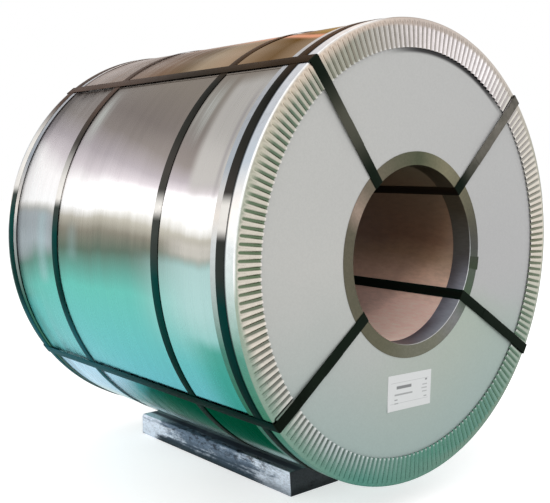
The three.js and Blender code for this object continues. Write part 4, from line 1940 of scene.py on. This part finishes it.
@dataclass
class OuterEdgeRings(SubAssembly):
    """The bright angle rings around both ends, their faces gathered into flutes."""

    rounding: float = 5 * MM
    flute_run_out: float = 9 * MM
    flutes: int = 200
    flute_depth: float = 6 * MM
    flute_start_share: float = 0.7
    unevenness: float = 1.2
    columns_per_flute: int = 8
    crease: float = 70.0

    @property
    def level(self) -> float:
        """Level of the face, halfway between its flutes' crests and valleys."""
        return self.layout.ring_crest - self.flute_depth / 2

    def skin(self, end: End) -> list[Point]:
        """A ring's visible line: from its face's inner edge out, and down the rim.

        Args:
            end: The end of the coil that the ring is on.

        Returns:
            The points of the line.
        """
        lay, level = self.layout, self.level
        rim_end = min(abs(corner.y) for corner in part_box(f"outer_edge_ring_{end.label}"))
        corner = lay.ring_radius - self.rounding
        risen = corner - self.flute_run_out
        return [
            *run((lay.ring_start, level), (risen, level), 3),
            *run((risen, level), (corner, level), 3),
            *arc((corner, level - self.rounding), self.rounding, 90, 0, 5),
            (lay.ring_radius, rim_end),
        ]

    def build(self) -> None:
        """Makes both rings."""
        lay = self.layout
        strap_edge = abs(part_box("girth_strap_1")[0].y)
        finish = EdgeRingFinish(self.level - self.rounding / 2, strap_edge).build(lay)
        corner = lay.ring_radius - self.rounding
        for end in End:
            piece = self.ring(
                f"fluted_edge_ring_{end.label}",
                sheet_section(self.skin(end), lay.sheet),
                finish,
                end,
                self.flutes * self.columns_per_flute,
                self.crease,
                Flutes=float(self.flutes),
                Flute_Depth=self.flute_depth,
                Flute_Start=corner,
                Flute_Rise=corner - self.flute_run_out,
                Flute_End=lay.ring_start,
                Flute_Share=self.flute_start_share,
                Unevenness=self.unevenness,
            )
            self.keep(piece, "edge_sheet", f"outer_edge_ring_{end.label}")


@dataclass
class BoreEdgeRings(SubAssembly):
    """The satin angle rings at the bore's edges, each with a lapped joint."""

    sleeve_radius: float
    rounding: float = 2.5 * MM
    segments: int = 180
    joint_angle: float = -12.0
    joint_width: float = 34 * MM
    joint_overhang: float = 4 * MM
    joint_share: float = 0.9
    joint_segments: int = 8

    def skin(self, lift: float = 0.0, overhang: float = 0.0) -> list[Point]:
        """The ring's visible line: up the sleeve in the bore, and out over the face.

        Args:
            lift: How far the line lies over the ring's own.
            overhang: How far it reaches past the face's outer edge.

        Returns:
            The points of the line.
        """
        lay = self.layout
        corner = (self.sleeve_radius + self.rounding, lay.bore_ring_face - self.rounding)
        return [
            (self.sleeve_radius - lift, lay.bore_ring_end + lift),
            *arc(corner, self.rounding + lift, 180, 90, 6),
            (lay.bore_ring_radius + overhang, lay.bore_ring_face + lift),
        ]

    def build(self) -> None:
        """Makes both rings and their joints."""
        lay = self.layout
        finish = BoreRingFinish(lay.bore_ring_end, lay.bore_ring_face).build(lay)
        section = sheet_section(self.skin(), lay.sheet)
        lapped = sheet_section(self.skin(lay.sheet, self.joint_overhang), lay.sheet * self.joint_share)
        starts = {End.BACK: -self.joint_angle, End.FRONT: 180 + self.joint_angle}
        for end in End:
            piece = self.ring(f"bore_edge_ring_{end.label}", section, finish, end, self.segments)
            self.keep(piece, "bore_edge", f"inner_edge_ring_{end.label}")
            name = f"bore_edge_joint_{end.label}"
            sweep = self.joint_width / lay.bore_ring_radius
            turned = {"Arc_Start": math.radians(starts[end]), "Arc_Sweep": sweep}
            self.keep(self.ring(name, lapped, finish, end, self.joint_segments, **turned), "bore_edge")


@dataclass
class GirthStraps(SubAssembly):
    """The four straps around the coil, each with its ends lapped."""

    lap: float = 75 * MM
    lap_angle: float = 8.0
    climb: float = 14 * MM
    step: float = 1.5

    def places(self) -> list[float]:
        """Places of the straps' middles along the axis."""
        boxes = [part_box(f"girth_strap_{k}") for k in range(1, 5)]
        return [(low.y + high.y) / 2 for low, high in boxes]

    def path(self, outside: float) -> list[Point]:
        """Middle line of a strap, its angles counted from +X towards +Z.

        Args:
            outside: Radius of the strap's outside, where it lies single.

        Returns:
            The points, from the lower end to the upper.
        """
        strap = self.layout.strap
        middle = outside - strap / 2
        half = math.degrees(self.lap / 2 / middle)
        climb_end = self.lap_angle + 360 - half
        climb = (climb_end - math.degrees(self.climb / middle), climb_end)
        angles = sorted({*turns(self.lap_angle - half, self.lap_angle + 360 + half, self.step), *climb})
        return climbing(angles, middle, strap * LAP_LIFT, climb)

    def build(self, finish: bpy.types.Material) -> None:
        """Makes the straps.

        Args:
            finish: The strapping's finish.
        """
        lay = self.layout
        for k, place in enumerate(self.places(), start=1):
            path = self.path(span(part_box(f"girth_strap_{k}")).z / 2)
            piece = self.strip(f"girth_band_{k}", path, lay.strap_width, lay.strap, finish, along=place)
            self.keep(piece, "strapping", f"girth_strap_{k}")


@dataclass
class EyeStraps(SubAssembly):
    """The four straps through the bore, each with its ends lapped on the front face."""

    sleeve_radius: float
    angles: tuple[float, ...] = (128.3, 44.3, -32.0, 216.8)
    lap_radius: float = 376 * MM
    lap: float = 75 * MM
    climb: float = 9 * MM
    rim_bend: float = 5 * MM
    bore_bend: float = 2.5 * MM
    bend_steps: int = 6

    def path(self) -> list[Point]:
        """Middle line of a strap, as [distance from the axis, level].

        Returns:
            The points of the line, from its lower end.
        """
        lay = self.layout
        half = lay.strap / 2
        top = lay.ring_crest + lay.play + half
        low = lay.bore_ring_face + lay.play + half
        out = lay.ring_radius + lay.strap + 2 * lay.play + half
        flat = self.sleeve_radius - lay.play
        bore = math.sqrt(flat**2 - (lay.strap_width / 2) ** 2) - half
        crest = lay.ring_start

        def taut(radius: float, lift: float) -> Point:
            """Point of the front run, lifted off the single strap's middle line."""
            level = low + (top - low) * (radius - bore) / (crest - bore)
            return (radius, -(level + lift))

        lifted = lay.strap * LAP_LIFT
        lap_end = self.lap_radius + self.lap
        corners = [
            (taut(lap_end, 0.0), 0.0),
            ((bore, -low), self.bore_bend),
            ((bore, low), self.bore_bend),
            ((crest, top), 0.0),
            ((out, top), self.rim_bend),
            ((out, -top), self.rim_bend),
            ((crest, -top), 0.0),
            (taut(lap_end + self.climb, 0.0), 0.0),
            (taut(lap_end, lifted), 0.0),
            (taut(self.lap_radius, lifted), 0.0),
        ]
        return bent(corners, self.bend_steps)

    def build(self, finish: bpy.types.Material) -> None:
        """Makes the straps.

        Args:
            finish: The strapping's finish.
        """
        lay, path = self.layout, self.path()
        for k, angle in enumerate(self.angles, start=1):
            turn = (0.0, -math.radians(angle), 0.0)
            piece = self.strip(f"eye_band_{k}", path, lay.strap_width, lay.strap, finish, turn)
            self.keep(piece, "strapping", f"eye_strap_{k}")


@dataclass
class Ticket(SubAssembly):
    """The paper ticket on the front disc, with one corner a little lifted."""

    width: float = 186 * MM
    height: float = 101 * MM
    thickness: float = 0.4 * MM
    tilt: float = 2.0
    curl: float = 1.6 * MM
    curl_reach: Span = (0.25, 0.45)
    columns: int = 24
    rows: int = 14

    def grid(
        self, shape: bmesh.types.BMesh, middle: Vector, level: float
    ) -> list[list[bmesh.types.BMVert]]:
        """Points of one side of the ticket.

        Args:
            shape: The mesh that they go into.
            middle: Middle of the ticket.
            level: Place of the side along the coil's axis.

        Returns:
            Rows of points, from the lowest up.
        """
        turn = Matrix.Rotation(math.radians(self.tilt), 4, "Y")
        rows = []
        for j in range(self.rows + 1):
            row = []
            for k in range(self.columns + 1):
                u, v = k / self.columns, j / self.rows
                off = math.hypot(u / self.curl_reach[0], v / self.curl_reach[1])
                lifted = self.curl * max(0.0, 1 - off) ** 2
                spot = turn @ Vector(((u - 0.5) * self.width, 0.0, (v - 0.5) * self.height))
                row.append(shape.verts.new((middle.x + spot.x, level - lifted, middle.z + spot.z)))
            rows.append(row)
        return rows

    def build(self) -> None:
        """Makes the ticket as a closed sheet with its own UV map."""
        low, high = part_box("label")
        middle = (low + high) / 2
        shape = bmesh.new()
        uv = shape.loops.layers.uv.new("ticket")
        back = self.grid(shape, middle, high.y)
        front = self.grid(shape, middle, high.y - self.thickness)
        for j in range(self.rows):
            for k in range(self.columns):
                around = [(j, k), (j, k + 1), (j + 1, k + 1), (j + 1, k)]
                for side, corners in ((front, around), (back, [around[0], *reversed(around[1:])])):
                    face = shape.faces.new([side[row][column] for row, column in corners])
                    for loop, (row, column) in zip(face.loops, corners):
                        loop[uv].uv = (column / self.columns, row / self.rows)
        outline = [(0, k) for k in range(self.columns)]
        outline += [(j, self.columns) for j in range(self.rows)]
        outline += [(self.rows, k) for k in range(self.columns, 0, -1)]
        outline += [(j, 0) for j in range(self.rows, 0, -1)]
        for (j0, k0), (j1, k1) in zip(outline, [*outline[1:], outline[0]]):
            shape.faces.new([back[j0][k0], back[j1][k1], front[j1][k1], front[j0][k0]])
        bmesh.ops.recalc_face_normals(shape, faces=shape.faces)
        mesh = meshed("ticket", shape)
        mesh.materials.append(LabelFinish().build(self.layout))
        self.keep(linked("ticket", mesh), "label_paper", "label")


@dataclass
class Bearers(SubAssembly):
    """The two worn steel bearers that the coil rests between."""

    edge: float = 4 * MM
    edge_steps: int = 3
    far_rounding: float = 14 * MM
    far_steps: int = 5
    off_square: float = 6 * MM
    dent: float = 0.7 * MM
    dent_waves: float = 22.0
    sharp: float = 60.0
    crease: float = 40.0
    sole: float = 0.05
    cuts: int = 90

    def wear(self, vert: bmesh.types.BMVert, low: Vector, high: Vector) -> None:
        """Moves a point of a block's surface as wear has moved it.

        Args:
            vert: The point.
            low: Lowest corner of the block's box.
            high: Highest corner.
        """
        share = (vert.co.z - low.z) / (high - low).z
        if vert.co.y < low.y + self.edge * 2:
            vert.co.y += self.off_square * share * (1 - (vert.co.y - low.y) / (self.edge * 2))
        worn = (0.5 + 0.5 * noise.noise(vert.co * self.dent_waves)) * self.dent
        middle = (low + high) / 2
        inwards = Vector((middle.x - vert.co.x, 0.0, middle.z - vert.co.z))
        if share > self.sole and inwards.length > 0:
            vert.co += inwards.normalized() * worn

    def block(self, name: str, low: Vector, high: Vector) -> bpy.types.Mesh:
        """A worn block in a box, its underside flat.

        Args:
            name: Name of the mesh.
            low: Lowest corner of the box.
            high: Highest corner.

        Returns:
            The mesh.
        """
        size = high - low
        middle = (low + high) / 2
        shape = bmesh.new()
        bmesh.ops.create_cube(shape, size=1.0)
        bmesh.ops.scale(shape, vec=size, verts=shape.verts)
        bmesh.ops.translate(shape, vec=middle, verts=shape.verts)
        rounded = {"affect": "EDGES", "profile": 0.5}
        far = [e for e in shape.edges if all(v.co.z > middle.z and v.co.y > middle.y for v in e.verts)]
        bmesh.ops.bevel(shape, geom=far, offset=self.far_rounding, segments=self.far_steps, **rounded)
        sharp = [e for e in shape.edges if e.calc_face_angle(0.0) > math.radians(self.sharp)]
        bmesh.ops.bevel(shape, geom=sharp, offset=self.edge, segments=self.edge_steps, **rounded)
        lengthwise = [e for e in shape.edges if abs(e.verts[0].co.y - e.verts[1].co.y) > size.y / 2]
        bmesh.ops.subdivide_edges(shape, edges=lengthwise, cuts=self.cuts)
        for vert in shape.verts:
            self.wear(vert, low, high)
        bmesh.ops.recalc_face_normals(shape, faces=shape.faces)
        for face in shape.faces:
            face.smooth = True
        mesh = meshed(name, shape)
        mesh.set_sharp_from_angle(angle=math.radians(self.crease))
        return mesh

    def build(self) -> None:
        """Makes both bearers."""
        low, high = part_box("bearer_left")
        finish = BearerFinish(high.z, abs(low.x), low.y, high.y).build(self.layout)
        for side in ("left", "right"):
            mesh = self.block(f"worn_bearer_{side}", *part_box(f"bearer_{side}"))
            mesh.materials.append(finish)
            self.keep(linked(mesh.name, mesh), "bearer_steel", f"bearer_{side}")


# ---------------------------------------------------------------- studio


@dataclass(frozen=True)
class Lamp:
    """A soft square lamp that looks at the coil."""

    name: str
    place: Triple
    size: float
    watts: float


@dataclass
class Studio:
    """Pale floor, white surround, soft lamps and the camera, which is placed from the coil."""

    layout: CoilLayout
    floor_half: float = 20.0
    floor_tone: float = 0.72
    floor_lift: float = 0.58
    sky_light: float = 0.9
    camera_place: Triple = (-1.859, -2.148, 0.2503)
    camera_yaw: float = 41.05
    camera_pitch: float = -5.75
    camera_range: float = 200.0
    lens: float = 56.04
    lamps: tuple[Lamp, ...] = (
        Lamp("key_lamp", (-4.0, -5.2, 5.0), 6.0, 60.0),
        Lamp("side_lamp", (-5.2, 4.8, 3.4), 5.0, 30.0),
        Lamp("fill_lamp", (5.6, -4.0, 3.6), 6.0, 45.0),
    )

    def seen(self, graph: NodeGraph) -> Value:
        """Picks the rays that the camera sees straight, in metal or through glass.

        Args:
            graph: The material or world that asks.

        Returns:
            1 for such a ray, and 0 for others.
        """
        straight, shiny, through = (
            graph.read("LightPath", output=f"Is {ray} Ray") for ray in ("Camera", "Glossy", "Transmission")
        )
        return straight.most(shiny).most(through)

    def surround(self) -> None:
        """White world where it is seen, and a plain light from it elsewhere."""
        world = bpy.data.worlds.new("studio")
        world.use_nodes = True
        bpy.context.scene.world = world
        graph = NodeGraph(world.node_tree, "ShaderNode")
        background = graph.tree.nodes["Background"]
        graph.feed(background.inputs["Color"], "ffffff")
        graph.feed(background.inputs["Strength"], self.seen(graph).slope(0.0, 1.0, self.sky_light, 1.0))

    def floor(self) -> None:
        """Pale floor that keeps the coil's shadow."""
        half = self.floor_half
        mesh = bpy.data.meshes.new("floor")
        corners = [(-half, -half, 0), (half, -half, 0), (half, half, 0), (-half, half, 0)]
        mesh.from_pydata(corners, [], [(0, 1, 2, 3)])
        material = bpy.data.materials.new("pale_floor")
        material.use_nodes = True
        graph = NodeGraph(material.node_tree, "ShaderNode")
        graph.tree.nodes.clear()
        diffuse = graph.node("BsdfDiffuse", {"Color": (self.floor_tone,) * 3 + (1.0,)})
        glow = graph.node("Emission", {"Strength": self.seen(graph) * self.floor_lift})
        graph.node("OutputMaterial", {"Surface": graph.node("AddShader", {0: diffuse, 1: glow})})
        mesh.materials.append(material)
        linked("floor", mesh)

    def light(self) -> None:
        """Sets up the lamps."""
        for lamp in self.lamps:
            data = bpy.data.lights.new(lamp.name, "AREA")
            data.size = lamp.size
            data.energy = lamp.watts
            made = linked(lamp.name, data)
            made.location = lamp.place
            aim = self.layout.centre - made.location
            made.rotation_euler = aim.to_track_quat("-Z", "Y").to_euler()

    def camera(self) -> None:
        """Puts the camera before the labelled end, to its left."""
        yaw, pitch = math.radians(self.camera_yaw), math.radians(self.camera_pitch)
        flat = math.cos(pitch)
        forward = Vector((flat * math.sin(yaw), flat * math.cos(yaw), math.sin(pitch)))
        data = bpy.data.cameras.new("camera")
        data.lens = self.lens
        data.clip_end = self.camera_range
        made = linked("camera", data)
        made.location = self.layout.centre + Vector(self.camera_place)
        made.rotation_euler = forward.to_track_quat("-Z", "Y").to_euler()
        bpy.context.scene.camera = made

    def build(self) -> None:
        """Makes the whole studio."""
        bpy.context.scene.view_settings.view_transform = "Standard"
        self.surround()
        self.floor()
        self.light()
        self.camera()
        LOG.info("studio: floor, %d lamps and the camera", len(self.lamps))


def main() -> None:
    """Builds every sub-assembly in order and the studio around them."""
    logging.basicConfig(level=logging.INFO, format="%(name)s: %(message)s")
    layout = CoilLayout.from_frame()
    shared = (layout, SweptStrip(), TurnedSheet())
    liner = BoreLiner(*shared)
    sleeve_radius = liner.inside - layout.play - layout.sheet
    girths = GirthStraps(*shared)
    strapping = StrapFinish(tuple(girths.places())).build(layout)

    CoilBody(*shared).build()
    OuterWrap(*shared).build(girths.places())
    liner.build()
    EndDiscs(*shared).build()
    OuterEdgeRings(*shared).build()
    BoreEdgeRings(*shared, sleeve_radius).build()
    girths.build(strapping)
    EyeStraps(*shared, sleeve_radius).build(strapping)
    Ticket(*shared).build()
    Bearers(*shared).build()
    Studio(layout).build()


if __name__ == "__main__":
    main()
